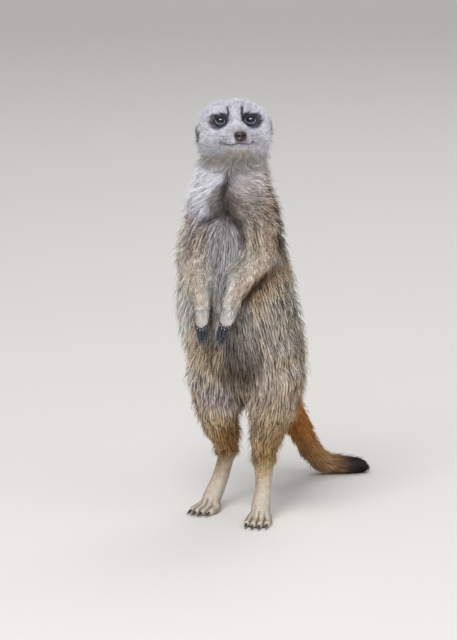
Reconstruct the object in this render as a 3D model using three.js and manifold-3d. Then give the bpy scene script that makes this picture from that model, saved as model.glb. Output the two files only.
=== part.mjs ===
// A meerkat standing upright on the toes of its hind feet, propped by its tail, at life size.
// Millimetres, +Z up. The face looks along -Y, and the animal's left is on the +X side.
// The solids reach to the tips of the coat. Nose, eyes and claws are bare and are pieces of their own.
import * as THREE from "three";
import { mergeVertices } from "three/addons/utils/BufferGeometryUtils.js";
import Module from "manifold-3d";

const wasm = await Module();
wasm.setup();

const LEFT = 1;
const RIGHT = -1;
const SIDES = { left: LEFT, right: RIGHT };

// Driving dimensions.
const GAP = 0.3; // clearance between pieces that touch
const HEAD_CENTRE = [-5, 2, 292];
const HEAD_YAW = 8; // degrees, to the animal's left
const HEAD_PITCH = 9; // degrees, nose up
const TRUNK_YAW = 28; // degrees, to the animal's right
const EYE_RADIUS = 5.3;
const FORE_CLAW = 14.5; // length of a digging claw
const HIND_CLAW = 7.5;

// Colours of the coat and of the bare pieces.
const COLOURS = {
  face: 0xcfc8c4,
  neck: 0xb9ab9c,
  back: 0xa08566,
  belly: 0xa8957f,
  arm: 0xb79c7b,
  leg: 0xb08a5e,
  foot: 0xd2b48c,
  tail: 0xa5703c,
  tail_tip: 0x2b1d18,
  ear: 0x241c1a,
  nose: 0x4a2a26,
  eye: 0x1a1310,
  claw: 0x20242c,
};

const vec = (x, y, z) => new THREE.Vector3(x, y, z);
const lerp = THREE.MathUtils.lerp;
const clamp = THREE.MathUtils.clamp;
const radians = THREE.MathUtils.degToRad;

// ---- Frames ---------------------------------------------------------------

// Axes that face a compass direction: left, forward and up, about an origin.
class Frame {
  constructor(origin, yaw, pitch = 0) {
    const turn = new THREE.Euler(radians(-pitch), 0, radians(yaw), "ZXY");
    this.origin = vec(...origin);
    this.left = vec(1, 0, 0).applyEuler(turn);
    this.forward = vec(0, -1, 0).applyEuler(turn);
    this.up = vec(0, 0, 1).applyEuler(turn);
  }

  // A point given by its distances to the left, forward and up.
  at(left, forward, up) {
    return this.origin
      .clone()
      .addScaledVector(this.left, left)
      .addScaledVector(this.forward, forward)
      .addScaledVector(this.up, up);
  }

  // The distances to the left, forward and up of a point.
  of(point) {
    const from = point.clone().sub(this.origin);
    return vec(from.dot(this.left), from.dot(this.forward), from.dot(this.up));
  }
}

const head = new Frame(HEAD_CENTRE, HEAD_YAW, HEAD_PITCH);

// ---- Forms: signed distances, negative inside ------------------------------

function smoothJoin(a, b, reach) {
  const h = Math.max(reach - Math.abs(a - b), 0) / reach;
  return Math.min(a, b) - (h * h * reach) / 4;
}

const smoothCut = (a, b, reach) => -smoothJoin(-a, b, reach);

function ball(p, centre, radii) {
  const q = vec(p.x - centre[0], p.y - centre[1], p.z - centre[2]);
  const near = Math.hypot(q.x / radii[0], q.y / radii[1], q.z / radii[2]);
  const slope = Math.hypot(
    q.x / radii[0] ** 2,
    q.y / radii[1] ** 2,
    q.z / radii[2] ** 2,
  );
  return slope < 1e-6 ? -Math.min(...radii) : (near * (near - 1)) / slope;
}

// A bar with round ends whose radius runs from one value to another.
function taper(p, a, b, radiusA, radiusB) {
  const along = b.clone().sub(a);
  const share = clamp(p.clone().sub(a).dot(along) / along.lengthSq(), 0, 1);
  const nearest = a.clone().addScaledVector(along, share);
  return p.distanceTo(nearest) - lerp(radiusA, radiusB, share);
}

// A limb: a chain of bars through its joints, each joint a point with a radius.
function chain(joints, reach = 5) {
  return (p) => {
    let near = Infinity;
    for (let i = 0; i + 1 < joints.length; i++) {
      const [a, b] = [joints[i], joints[i + 1]];
      const bar = taper(p, a.at, b.at, a.radius, b.radius);
      near = near === Infinity ? bar : smoothJoin(near, bar, reach);
    }
    return near;
  };
}

const joint = (x, y, z, radius) => ({ at: vec(x, y, z), radius });

const joined =
  (reach, ...forms) =>
  (p) =>
    forms.map((form) => form(p)).reduce((a, b) => smoothJoin(a, b, reach));

// ---- Trunk and neck --------------------------------------------------------

// Stations up the spine. Centre x and y, and how far the sides, the front and the back stand off.
const SPINE = [
  { z: 85, x: 6.5, y: 11, left: 25, right: 25, front: 20, back: 25, yaw: 26 },
  { z: 101, x: 6, y: 11, left: 31.5, right: 32, front: 28, back: 30, yaw: 26 },
  { z: 121, x: 4, y: 10, left: 39.5, right: 42, front: 33, back: 31, yaw: 27 },
  { z: 143, x: 1.8, y: 9, left: 44, right: 47.5, front: 30.5, back: 31.5, yaw: 28 },
  { z: 167, x: 0.7, y: 9, left: 42.6, right: 48.5, front: 27.8, back: 31, yaw: 28 },
  { z: 189, x: 0, y: 9, left: 37.5, right: 42, front: 26, back: 29.5, yaw: 26 },
  { z: 213, x: -1, y: 9, left: 31.2, right: 34, front: 25, back: 28, yaw: 24 },
  { z: 231, x: -2.4, y: 9, left: 28.6, right: 31.5, front: 23.5, back: 26, yaw: 20 },
  { z: 248, x: -3.4, y: 8.5, left: 25.2, right: 27.8, front: 21.5, back: 24, yaw: 15 },
  { z: 264, x: -4.2, y: 8, left: 21.6, right: 22.6, front: 19, back: 22, yaw: 9 },
  { z: 286, x: -4.2, y: 7, left: 21, right: 21, front: 17, back: 21, yaw: 2 },
];
const SPINE_END_ROUNDING = 16;
const STATION_KEYS = ["x", "y", "left", "right", "front", "back", "yaw"];

// The spine's section at a height, eased between its stations.
function sectionAt(z) {
  const last = SPINE.length - 1;
  let i = SPINE.findIndex((s) => s.z > z) - 1;
  i = z >= SPINE[last].z ? last - 1 : clamp(i, 0, last - 1);
  const share = clamp((z - SPINE[i].z) / (SPINE[i + 1].z - SPINE[i].z), 0, 1);
  const pick = (n, key) => SPINE[clamp(n, 0, last)][key];
  const section = {};
  for (const key of STATION_KEYS) {
    const [p0, p1, p2, p3] = [-1, 0, 1, 2].map((n) => pick(i + n, key));
    section[key] =
      p1 +
      0.5 *
        share *
        (p2 - p0 +
          share *
            (2 * p0 - 5 * p1 + 4 * p2 - p3 + share * (3 * (p1 - p2) + p3 - p0)));
  }
  return section;
}

function spineForm(p) {
  const s = sectionAt(p.z);
  const turn = radians(-s.yaw);
  const [dx, dy] = [p.x - s.x, p.y - s.y];
  const sideways = dx * Math.cos(turn) + dy * Math.sin(turn);
  const forward = dx * Math.sin(turn) - dy * Math.cos(turn);
  const half = sideways > 0 ? s.left : s.right;
  const depth = forward > 0 ? s.front : s.back;
  const near = Math.hypot(sideways / half, forward / depth);
  const slope = Math.hypot(sideways / half ** 2, forward / depth ** 2) / near;
  const side =
    near < 0.3 ? -0.7 * Math.min(half, depth) : (near - 1) / slope;
  const ends = Math.max(SPINE[0].z - p.z, p.z - SPINE.at(-1).z);
  return -smoothJoin(-side, -ends, SPINE_END_ROUNDING);
}

// ---- Head ------------------------------------------------------------------

const FACE_SHIFT = -0.6; // the eyes and the nose sit a little to the right
const EYE = { left: 10.9, forward: 17.4, up: 3.9 };
const EAR = { forward: -2.5, up: -2.8, left: { left: 25, right: 23 } };
const NOSE = { forward: 40.5, up: -7.3 };

function headForm(p) {
  const q = head.of(p);
  const side = vec(Math.abs(q.x), q.y, q.z); // the head is the same on both sides
  let form = ball(side, [0, -5, -0.3], [24.8, 28, 18.9]);
  const join = (part, reach) => {
    form = smoothJoin(form, part, reach);
  };
  join(ball(side, [8.5, 10, 8], [11, 12, 9.5]), 5); // brow
  join(ball(side, [q.x > 0 ? 14.6 : 13.2, -2, 4], [10.6, 15, 9.2]), 5); // temple, fuller on the left
  join(ball(side, [15, 11, -8.5], [10.5, 14, 12]), 8); // cheek
  join(ball(side, [15.5, -1, -13.5], [8, 13, 12]), 8); // ruff behind the jaw
  join(taper(side, vec(0, 12, -6), vec(0, 33, -9.3), 13, 7), 8); // muzzle
  join(taper(side, vec(0, 14, 2.2), vec(0, 37, -4.8), 7.5, 4), 6); // bridge of the nose
  join(ball(side, [4.4, 33.5, -11], [4.8, 7.5, 4.4]), 3); // upper lip
  join(taper(side, vec(0, 4, -13.5), vec(0, 29.5, -15.8), 9, 3.8), 5); // lower jaw
  const socket = ball(side, [EYE.left + 0.6, EYE.forward + 5.5, EYE.up], [6, 6, 5.2]);
  return smoothCut(form, socket, 4);
}

// ---- Limbs and tail --------------------------------------------------------

// Each arm from the shoulder past the elbow, its third joint, to the wrist.
const ARM = {
  left: [
    joint(13, -3, 222, 15),
    joint(16.5, -9, 210, 12),
    joint(12.8, -15.5, 196, 10),
    joint(-1.4, -25, 179, 7.9),
    joint(-7, -31, 161.5, 6.5),
  ],
  right: [
    joint(-20, 12, 226, 16),
    joint(-27.8, 9, 209, 12.5),
    joint(-32.4, 2, 193.5, 10.2),
    joint(-29.8, -11, 177.5, 8.2),
    joint(-27.6, -20, 159, 6.5),
  ],
};

// Hip, knee, hock and the ball of the foot.
const LEG = {
  left: [
    joint(26.6, 4, 125.5, 21),
    joint(27, -7, 102, 19.5),
    joint(23.5, -13, 82, 14.5),
    joint(19.2, -3, 59.5, 10.4),
    joint(17.7, 8.5, 39.5, 7.5),
    joint(17.5, -3.5, 24.5, 6.2),
    joint(14.7, -20.5, 6.8, 7.2),
  ],
  right: [
    joint(-15.5, 17, 124, 21.5),
    joint(-20, 8, 102, 17.5),
    joint(-17.2, 9.5, 83, 14.4),
    joint(-14, 23, 63, 12.2),
    joint(-10.3, 33.5, 51, 9),
    joint(-9, 42.5, 38, 6.5),
    joint(-14, 28, 22.5, 6.2),
    joint(-21.6, 14, 6.8, 7.2),
  ],
};

const TAIL = [
  joint(17, 32, 114, 15),
  joint(26, 54, 94, 11.5),
  joint(36.5, 77, 69, 9.8),
  joint(45.5, 97, 43, 8.8),
  joint(54, 111, 22.5, 8),
  joint(63, 119, 10, 7.3),
  joint(75, 123, 6.4, 6.8),
  joint(88, 124.5, 5.8, 6.2),
  joint(96, 124, 4.8, 5.2),
];

// ---- From forms to solids --------------------------------------------------

const CORNERS = [0, 1, 2, 3, 4, 5, 6, 7].map((n) => [n & 1, (n >> 1) & 1, n >> 2]);

// Slides a point along a form's slope until it lies on the surface.
function settle(point, form) {
  const step = 0.05;
  for (let pass = 0; pass < 4; pass++) {
    const here = form(point);
    const slope = vec(
      form(point.clone().add(vec(step, 0, 0))) - here,
      form(point.clone().add(vec(0, step, 0))) - here,
      form(point.clone().add(vec(0, 0, step))) - here,
    ).divideScalar(step);
    if (slope.lengthSq() < 1e-4) break;
    point.addScaledVector(slope, -here / slope.lengthSq());
  }
  return point;
}

// A closed net of four-sided cells wrapped round a form, as a solid.
function wrap(form, low, high, cell, tries = 6) {
  const size = [0, 1, 2].map((k) => Math.ceil((high[k] - low[k]) / cell) + 1);
  const [nx, ny, nz] = size;
  const index = (i, j, k) => i + nx * (j + ny * k);
  const place = (i, j, k) =>
    vec(low[0] + i * cell, low[1] + j * cell, low[2] + k * cell);
  const value = new Float64Array(nx * ny * nz);
  const outer = (i, n) => i === 0 || i === n - 1;
  for (let k = 0; k < nz; k++)
    for (let j = 0; j < ny; j++)
      for (let i = 0; i < nx; i++) {
        const edge = outer(i, nx) || outer(j, ny) || outer(k, nz);
        value[index(i, j, k)] = edge ? cell : form(place(i, j, k));
      }
  const cellPoint = new Map();
  const positions = [];
  const pointOf = (i, j, k) => {
    const key = index(i, j, k);
    if (cellPoint.has(key)) return cellPoint.get(key);
    const sum = vec(0, 0, 0);
    let crossings = 0;
    for (const a of CORNERS)
      for (const axis of [0, 1, 2]) {
        if (a[axis]) continue;
        const b = a.map((c, n) => (n === axis ? 1 : c));
        const va = value[index(i + a[0], j + a[1], k + a[2])];
        const vb = value[index(i + b[0], j + b[1], k + b[2])];
        if (va < 0 === vb < 0) continue;
        const pa = place(i + a[0], j + a[1], k + a[2]);
        sum.add(pa.lerp(place(i + b[0], j + b[1], k + b[2]), va / (va - vb)));
        crossings++;
      }
    const inset = cell * 0.06; // a corner stays inside its own cell
    const least = place(i, j, k).addScalar(inset);
    const most = place(i + 1, j + 1, k + 1).subScalar(inset);
    const point = settle(sum.divideScalar(crossings), form).clamp(least, most);
    positions.push(point.x, point.y, point.z);
    cellPoint.set(key, positions.length / 3 - 1);
    return positions.length / 3 - 1;
  };
  const triangles = [];
  const sides = new Map();
  const steps = [
    [1, 0, 0],
    [0, 1, 0],
    [0, 0, 1],
  ];
  for (let k = 0; k < nz - 1; k++)
    for (let j = 0; j < ny - 1; j++)
      for (let i = 0; i < nx - 1; i++)
        steps.forEach((step, axis) => {
          const here = value[index(i, j, k)] < 0;
          const next = value[index(i + step[0], j + step[1], k + step[2])] < 0;
          if (here === next) return;
          const [u, v] = [steps[(axis + 1) % 3], steps[(axis + 2) % 3]];
          const round = [
            [0, 0],
            [1, 0],
            [1, 1],
            [0, 1],
          ].map(([a, b]) =>
            pointOf(
              i - a * u[0] - b * v[0],
              j - a * u[1] - b * v[1],
              k - a * u[2] - b * v[2],
            ),
          );
          const [a, b, c, d] = here ? round : round.reverse();
          triangles.push(a, b, c, a, c, d);
          round.forEach((from, n) => {
            const to = round[(n + 1) % 4];
            const side = Math.min(from, to) * 1e6 + Math.max(from, to);
            sides.set(side, (sides.get(side) ?? 0) + 1);
          });
        });
  // Where two sheets touch at one side, the same net is laid again a little aside.
  if (tries > 0 && [...sides.values()].some((uses) => uses > 2))
    return wrap(form, low.map((c) => c - cell * 0.17), high, cell, tries - 1);
  return solidOf(
    new THREE.BufferGeometry()
      .setAttribute("position", new THREE.Float32BufferAttribute(positions, 3))
      .setIndex(triangles),
  );
}

// A three.js geometry as a solid that can be joined and cut.
function solidOf(geometry) {
  const bare = geometry.clone();
  bare.deleteAttribute("normal");
  bare.deleteAttribute("uv");
  const merged = mergeVertices(bare, 1e-4);
  return new wasm.Manifold(
    new wasm.Mesh({
      numProp: 3,
      vertProperties: new Float32Array(merged.attributes.position.array),
      triVerts: new Uint32Array(merged.index.array),
      tolerance: 0.05,
    }),
  );
}

// The largest separate body of a solid, as a three.js geometry.
function geometryOf(solid) {
  const bodies = solid.decompose();
  const largest = bodies.reduce((a, b) => (a.volume() > b.volume() ? a : b));
  const mesh = largest.getMesh();
  const geometry = new THREE.BufferGeometry()
    .setAttribute("position", new THREE.BufferAttribute(mesh.vertProperties, 3))
    .setIndex(new THREE.BufferAttribute(mesh.triVerts, 1));
  geometry.computeVertexNormals();
  return geometry;
}

const wider = (form, by) => (p) => form(p) - by;

// Cuts a solid across into a row of lengths, with a thin gap at each cut.
function divide(solid, cuts) {
  const lengths = [];
  let rest = solid;
  for (const { at, along } of cuts) {
    const normal = along.clone().normalize();
    const offset = normal.dot(at);
    const near = normal.clone().negate().toArray();
    lengths.push(rest.trimByPlane(near, -offset + GAP / 2));
    rest = rest.trimByPlane(normal.toArray(), offset + GAP / 2);
  }
  return [...lengths, rest];
}

// A cut across a limb at one of its joints, square to the bend.
function cutAt(joints, i) {
  const before = joints[i].at.clone().sub(joints[i - 1].at).normalize();
  const next = joints[i + 1] ?? joints[i];
  const after = next.at.clone().sub(joints[i].at).normalize();
  return { at: joints[i].at, along: after.add(before) };
}

// The box that holds a limb's joints.
function boxOf(joints, margin) {
  const box = new THREE.Box3();
  for (const { at, radius } of joints)
    box.union(
      new THREE.Box3(
        at.clone().subScalar(radius + margin),
        at.clone().addScalar(radius + margin),
      ),
    );
  return [box.min.toArray(), box.max.toArray()];
}

const onFloor = (solid) => solid.trimByPlane([0, 0, 1], 0);

// ---- Pieces ----------------------------------------------------------------

const model = new THREE.Group();

function add(name, geometry, colour, roughness = 0.9) {
  const material = new THREE.MeshStandardMaterial({
    color: COLOURS[colour],
    roughness,
    metalness: 0,
  });
  const mesh = new THREE.Mesh(geometry, material);
  mesh.name = name;
  model.add(mesh);
}

// A capsule from a to b whose radius changes along it, as a solid.
function finger(a, b, radiusA, radiusB, around = 6) {
  const along = b.clone().sub(a);
  const length = along.length();
  const geometry = new THREE.CapsuleGeometry(1, length, 2, around);
  const turn = new THREE.Quaternion().setFromUnitVectors(
    vec(0, 1, 0),
    along.clone().normalize(),
  );
  const points = geometry.attributes.position;
  for (let i = 0; i < points.count; i++) {
    const p = vec(points.getX(i), points.getY(i), points.getZ(i));
    const share = clamp(p.y / length + 0.5, 0, 1);
    const radius = lerp(radiusA, radiusB, share);
    const centre = (share - 0.5) * length;
    p.set(p.x * radius, centre + (p.y - centre) * radius, p.z * radius);
    p.applyQuaternion(turn).addScaledVector(along, 0.5).add(a);
    points.setXYZ(i, p.x, p.y, p.z);
  }
  return solidOf(geometry);
}

// A digit cut off square a gap short of its claw's root.
const blunt = (digit, root, along) => {
  const back = along.clone().negate();
  return digit.trimByPlane(back.toArray(), back.dot(root) + GAP);
};

// A claw: a slim cone with a flattened section, bent down along an arc.
function claw(root, along, down, length, radius, bend) {
  const geometry = new THREE.ConeGeometry(radius, length, 5, 3);
  const side = along.clone().cross(down).normalize();
  const under = side.clone().cross(along).normalize();
  const points = geometry.attributes.position;
  for (let i = 0; i < points.count; i++) {
    const share = points.getY(i) / length + 0.5;
    const turn = (radians(bend) * share) / 2;
    const reach = share * length;
    const centre = root
      .clone()
      .addScaledVector(along, reach * Math.cos(turn))
      .addScaledVector(under, reach * Math.sin(turn));
    const across = under
      .clone()
      .multiplyScalar(Math.cos(2 * turn))
      .addScaledVector(along, -Math.sin(2 * turn));
    centre
      .addScaledVector(side, points.getX(i) * 0.8)
      .addScaledVector(across, points.getZ(i) * 1.15);
    points.setXYZ(i, centre.x, centre.y, centre.z);
  }
  return geometry;
}

const upper = joined(9, spineForm, headForm);

const HEAD_CELL = 5.2;

function buildHeadAndTrunk() {
  const [hx, hy, hz] = HEAD_CENTRE;
  const skull = wrap(upper, [hx - 36, hy - 48, hz - 34], [hx + 36, hy + 42, hz + 30], HEAD_CELL);
  const whole = wrap(upper, ...trunkBox, TRUNK_CELL);
  const nape = { at: vec(-4, 4, 269), along: vec(0.05, 0.5, -1) };
  const collar = { at: vec(-4, 9, 238), along: vec(0, 0.12, -1) };
  const waist = { at: vec(-1, 9, 178), along: vec(0, 0, -1) };
  const [headSolid] = divide(skull, [nape]);
  const [, neck, chest, belly] = divide(whole, [nape, collar, waist]);
  return { headSolid, neck, chest, belly };
}

function eyeAt(side, radius) {
  const centre = head.at(side * EYE.left + FACE_SHIFT, EYE.forward, EYE.up);
  return new THREE.IcosahedronGeometry(radius, 2).translate(...centre);
}

function noseForm(p) {
  const q = head.of(p);
  const side = vec(Math.abs(q.x - FACE_SHIFT), q.y, q.z);
  const pad = ball(side, [0, NOSE.forward, NOSE.up], [4, 3.4, 3.9]);
  const wing = ball(side, [2.5, NOSE.forward - 0.6, NOSE.up + 0.3], [2.2, 2.8, 2.6]);
  return smoothJoin(pad, wing, 1.5);
}

// An ear is a low cup behind the cheek, open to the front.
function earForm(name, side) {
  const centre = head.at(side * EAR.left[name], EAR.forward, EAR.up);
  const cup = new Frame(centre.toArray(), HEAD_YAW + side * 52, HEAD_PITCH);
  return (p) => {
    const q = cup.of(p);
    const shell = ball(q, [0, 0, 0], [6.4, 3.2, 6.8]);
    const hollow = ball(q, [-side * 0.8, 3.4, 0.4], [4, 3.2, 4.6]);
    return smoothCut(shell, hollow, 1.5);
  };
}

function addHead(headSolid) {
  const centre = head.at(FACE_SHIFT, NOSE.forward, NOSE.up).toArray();
  const noseBox = [centre.map((c) => c - 8), centre.map((c) => c + 8)];
  const nose = wrap(noseForm, ...noseBox, 1.7);
  let face = headSolid.subtract(wrap(wider(noseForm, GAP), ...noseBox, 1.7));
  for (const [name, side] of Object.entries(SIDES)) {
    face = face.subtract(solidOf(eyeAt(side, EYE_RADIUS + GAP)));
    add("eye_" + name, eyeAt(side, EYE_RADIUS), "eye", 0.1);
  }
  for (const [name, side] of Object.entries(SIDES)) {
    const form = earForm(name, side);
    const at = head.at(side * EAR.left[name], EAR.forward, EAR.up).toArray();
    const box = [at.map((c) => c - 12), at.map((c) => c + 12)];
    face = face.subtract(wrap(wider(form, GAP + 0.35), ...box, 2.6));
    add("ear_" + name, geometryOf(wrap(form, ...box, 2.6)), "ear");
  }
  add("nose", geometryOf(nose), "nose", 0.35);
  add("head", geometryOf(face), "face");
}

// The trunk a little fatter than it is, to cut the limbs clear of it.
const trunkBox = [
  [-50, -44, 66],
  [60, 56, 300],
];
const TRUNK_CELL = 9.5;
const trunkClearance = wrap(wider(upper, GAP + 0.45), ...trunkBox, TRUNK_CELL);

const ARM_CELL = 5.8;

// The upper arm melts into the shoulder, and the forearm stands clear of the belly.
function addArm(name) {
  const joints = ARM[name];
  const [elbow, wrist] = [cutAt(joints, 2), cutAt(joints, 4)];
  const shoulder = joints.slice(0, 4);
  const blended = joined(7, chain(shoulder), spineForm);
  const upperArm = wrap(blended, ...boxOf(shoulder, 3), ARM_CELL);
  const [upper] = divide(upperArm.subtract(trunkClearance), [elbow]);
  const below = joints.slice(1);
  const forearm = wrap(chain(below), ...boxOf(below, 3), ARM_CELL);
  const [, lower] = divide(forearm.subtract(trunkClearance), [elbow, wrist]);
  add("upper_arm_" + name, geometryOf(upper), "arm");
  add("forearm_" + name, geometryOf(lower), "arm");
  addForepaw(name, joints[4]);
}

// The way each forepaw hangs from its wrist.
const PAW_HANG = { left: [-0.32, -0.2, -1], right: [0.05, -0.25, -1] };

// Digits fan from the palm and hang from the wrist, each with a long claw.
function addForepaw(name, wrist) {
  const hang = vec(...PAW_HANG[name]).normalize();
  const forward = new Frame([0, 0, 0], -TRUNK_YAW).forward;
  const across = hang.clone().cross(forward).normalize();
  const out = across.clone().cross(hang).normalize();
  const palmEnd = wrist.at.clone().addScaledVector(hang, 5.5);
  const start = wrist.at.clone().addScaledVector(hang, GAP);
  let paw = finger(start, palmEnd, wrist.radius - 0.6, 5.3, 8);
  const knuckles = [-1.5, -0.5, 0.5, 1.5];
  knuckles.forEach((place, i) => {
    const spread = place * 2.75;
    const forwardness = Math.abs(place) > 1 ? 0 : 1.6;
    const knuckle = wrist.at
      .clone()
      .addScaledVector(hang, 5.5 + forwardness)
      .addScaledVector(across, spread * 0.85)
      .addScaledVector(out, 0.9 + forwardness * 0.4);
    const tip = knuckle
      .clone()
      .addScaledVector(hang, 4.5)
      .addScaledVector(across, spread * 0.1)
      .addScaledVector(out, 0.6);
    const away = hang.clone().addScaledVector(across, place * -0.055).normalize();
    const along = away.clone().addScaledVector(out, 0.12).normalize();
    const root = tip.clone().addScaledVector(along, 1.3);
    paw = paw.add(blunt(finger(knuckle, tip, 2.5, 1.5), root, along));
    const shape = claw(root, along, out.clone().negate(), FORE_CLAW, 1.12, 34);
    add(`claw_fore_${name}_${i + 1}`, shape, "claw", 0.3);
  });
  const [, hand] = divide(paw, [cutAt(ARM[name], 4)]);
  add("forepaw_" + name, geometryOf(hand), "foot");
}

const LEG_CELL = 7.4;

function addLeg(name, others) {
  const joints = LEG[name];
  const hock = joints.length - 3;
  const bare = joints.slice(0, hock + 2);
  const blended = joined(8, chain(bare), spineForm);
  const legBox = boxOf(bare, 4);
  const leg = wrap(blended, ...legBox, LEG_CELL);
  const clear = [trunkClearance, ...others].reduce((a, b) => a.subtract(b), leg);
  const [thigh, shank] = divide(clear, [
    cutAt(joints, 2),
    cutAt(joints, hock),
  ]);
  add("thigh_" + name, geometryOf(thigh), "leg");
  add("shank_" + name, geometryOf(shank), "leg");
  addHindFoot(name, joints, hock);
  return wrap(wider(blended, GAP + 0.1), ...legBox, LEG_CELL);
}

// The long foot slopes from the raised hock to four toes flat on the floor.
function addHindFoot(name, joints, hockIndex) {
  const [hock, instep, ballJoint] = joints.slice(hockIndex);
  const heading = ballJoint.at.clone().sub(instep.at).setZ(0).normalize();
  const across = heading.clone().cross(vec(0, 0, 1)).normalize();
  let foot = finger(hock.at, instep.at, hock.radius, instep.radius, 8).add(
    finger(instep.at, ballJoint.at, instep.radius, ballJoint.radius, 8),
  );
  const knuckles = [-1.5, -0.5, 0.5, 1.5];
  knuckles.forEach((place, i) => {
    const forwardness = Math.abs(place) > 1 ? 0 : 3;
    const knuckle = ballJoint.at
      .clone()
      .addScaledVector(across, place * 4.2)
      .addScaledVector(heading, 2 + forwardness)
      .setZ(3.4);
    const tip = knuckle
      .clone()
      .addScaledVector(across, place * 0.9)
      .addScaledVector(heading, 12.5)
      .setZ(2.4);
    const along = heading.clone().add(vec(0, 0, -0.12)).normalize();
    const root = tip.clone().addScaledVector(heading, 1.6).setZ(2.9);
    foot = foot.add(blunt(finger(knuckle, tip, 3.6, 2.7), root, along));
    const shape = claw(root, along, vec(0, 0, -1), HIND_CLAW, 1.15, 30);
    add(`claw_hind_${name}_${i + 1}`, shape, "claw", 0.35);
  });
  const [, flat] = divide(onFloor(foot), [cutAt(joints, hockIndex)]);
  add("hind_foot_" + name, geometryOf(flat), "foot");
}

const TAIL_CELL = 5.6;

function addTail(legs) {
  const blended = joined(8, chain(TAIL, 6), spineForm);
  const lying = (p) => Math.max(blended(p), -p.z);
  const solid = [trunkClearance, ...legs].reduce(
    (a, b) => a.subtract(b),
    wrap(lying, ...boxOf(TAIL, 3), TAIL_CELL),
  );
  const [base, middle, tip] = divide(solid, [cutAt(TAIL, 3), cutAt(TAIL, 6)]);
  add("tail_base", geometryOf(base), "tail");
  add("tail_middle", geometryOf(middle), "tail");
  add("tail_tip", geometryOf(tip), "tail_tip");
}

const { headSolid, neck, chest, belly } = buildHeadAndTrunk();
addHead(headSolid);
add("neck", geometryOf(neck), "neck");
add("chest", geometryOf(chest), "back");
add("belly", geometryOf(belly), "belly");
const legs = [];
for (const name of Object.keys(SIDES)) {
  addArm(name);
  legs.push(addLeg(name, legs));
}
addTail(legs);

// The origin is on the floor, under the middle of the model's box.
const box = new THREE.Box3().setFromObject(model);
const middle = box.getCenter(vec(0, 0, 0));
model.position.set(-middle.x, -middle.y, -box.min.z);

export default model;
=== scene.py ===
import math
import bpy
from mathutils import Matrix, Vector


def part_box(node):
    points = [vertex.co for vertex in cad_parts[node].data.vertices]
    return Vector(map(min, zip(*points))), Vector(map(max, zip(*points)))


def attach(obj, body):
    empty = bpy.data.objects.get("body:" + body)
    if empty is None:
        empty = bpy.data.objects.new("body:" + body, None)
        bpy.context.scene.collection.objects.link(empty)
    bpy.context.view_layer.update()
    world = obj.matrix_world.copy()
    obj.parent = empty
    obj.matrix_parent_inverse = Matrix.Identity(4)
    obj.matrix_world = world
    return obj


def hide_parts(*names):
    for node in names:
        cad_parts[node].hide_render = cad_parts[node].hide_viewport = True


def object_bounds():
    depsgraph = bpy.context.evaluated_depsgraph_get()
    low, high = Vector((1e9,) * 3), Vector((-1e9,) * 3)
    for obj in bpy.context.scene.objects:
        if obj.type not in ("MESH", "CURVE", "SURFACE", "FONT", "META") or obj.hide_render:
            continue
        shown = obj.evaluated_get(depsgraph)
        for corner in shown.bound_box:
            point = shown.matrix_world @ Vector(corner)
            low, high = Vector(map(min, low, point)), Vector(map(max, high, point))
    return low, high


bl_info = {
    "name": "Standing meerkat",
    "version": (1, 0, 0),
    "blender": (4, 5, 0),
    "location": "3D View > Sidebar > Meerkat",
    "description": "Hide, coat, eyes and claws of a life-size standing meerkat, built over its packed solids",
    "category": "Object",
}

import bmesh
import bpy
import numpy as np
from bpy.props import BoolProperty, FloatProperty, FloatVectorProperty, PointerProperty
from mathutils import Vector
from mathutils.bvhtree import BVHTree

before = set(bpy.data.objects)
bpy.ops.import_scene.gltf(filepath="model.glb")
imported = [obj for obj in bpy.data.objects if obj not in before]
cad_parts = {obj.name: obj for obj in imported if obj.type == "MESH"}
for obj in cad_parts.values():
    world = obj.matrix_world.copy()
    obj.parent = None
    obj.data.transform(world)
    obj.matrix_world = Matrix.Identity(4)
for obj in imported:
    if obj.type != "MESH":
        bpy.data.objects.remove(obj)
SOLID_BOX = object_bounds()

# Places are in millimetres round the figure's own upright line.
# ORIGIN is where that line stands in the frame.
ORIGIN = np.array([-28.466, -42.74, 0.0])

HEAD_CENTRE = np.array([-5.0, 2.0, 292.0])
HEAD_TURN, HEAD_TILT = math.radians(8), math.radians(9)
FACE_SHIFT = -0.6  # the eyes and the nose sit a little to the right
EYE = (10.9, 17.4, 3.9)  # beside, before and above the head's centre
EYE_RADIUS = 5.3
LOOK = (0, -0.976, 0.185)  # where the eyes look
NOSE_PAD = np.array([FACE_SHIFT, 40.5, -7.3])  # its middle, from the head's centre

# height, place of the trunk's middle from side to side and front to back, and its turn in degrees
TRUNK = np.array(
    [
        (85, 6.5, 11, 26), (121, 4, 10, 27), (143, 1.8, 9, 28), (167, 0.7, 9, 28), (189, 0, 9, 26),
        (213, -1, 9, 24), (231, -2.4, 9, 20), (248, -3.4, 8.5, 15), (264, -4.2, 8, 9), (286, -4.2, 7, 2),
    ],
    float,
)
ARM = {
    "left": [
        (13, -3, 226), (16.5, -9, 210), (12.8, -15.5, 196),
        (-1.4, -25, 179), (-7, -31, 161.5), (-12, -34, 146),
    ],
    "right": [
        (-20, 12, 229), (-27.8, 9, 209), (-32.4, 2, 193.5),
        (-29.8, -11, 177.5), (-27.6, -20, 159), (-26.8, -24.5, 141.5),
    ],
}
LEG = {
    "left": [
        (26.6, 6, 140), (27, -7, 102), (23.5, -13, 82), (19.2, -3, 59.5),
        (17.7, 8.5, 39.5), (17.5, -3.5, 24.5), (14.7, -20.5, 6.8), (13, -34, 5),
    ],
    "right": [
        (-17, 17, 140), (-20, 8, 102), (-17.2, 9.5, 83), (-14, 23, 63),
        (-9, 42.5, 38), (-14, 28, 22.5), (-21.6, 14, 6.8), (-30, 3, 5),
    ],
}
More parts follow.
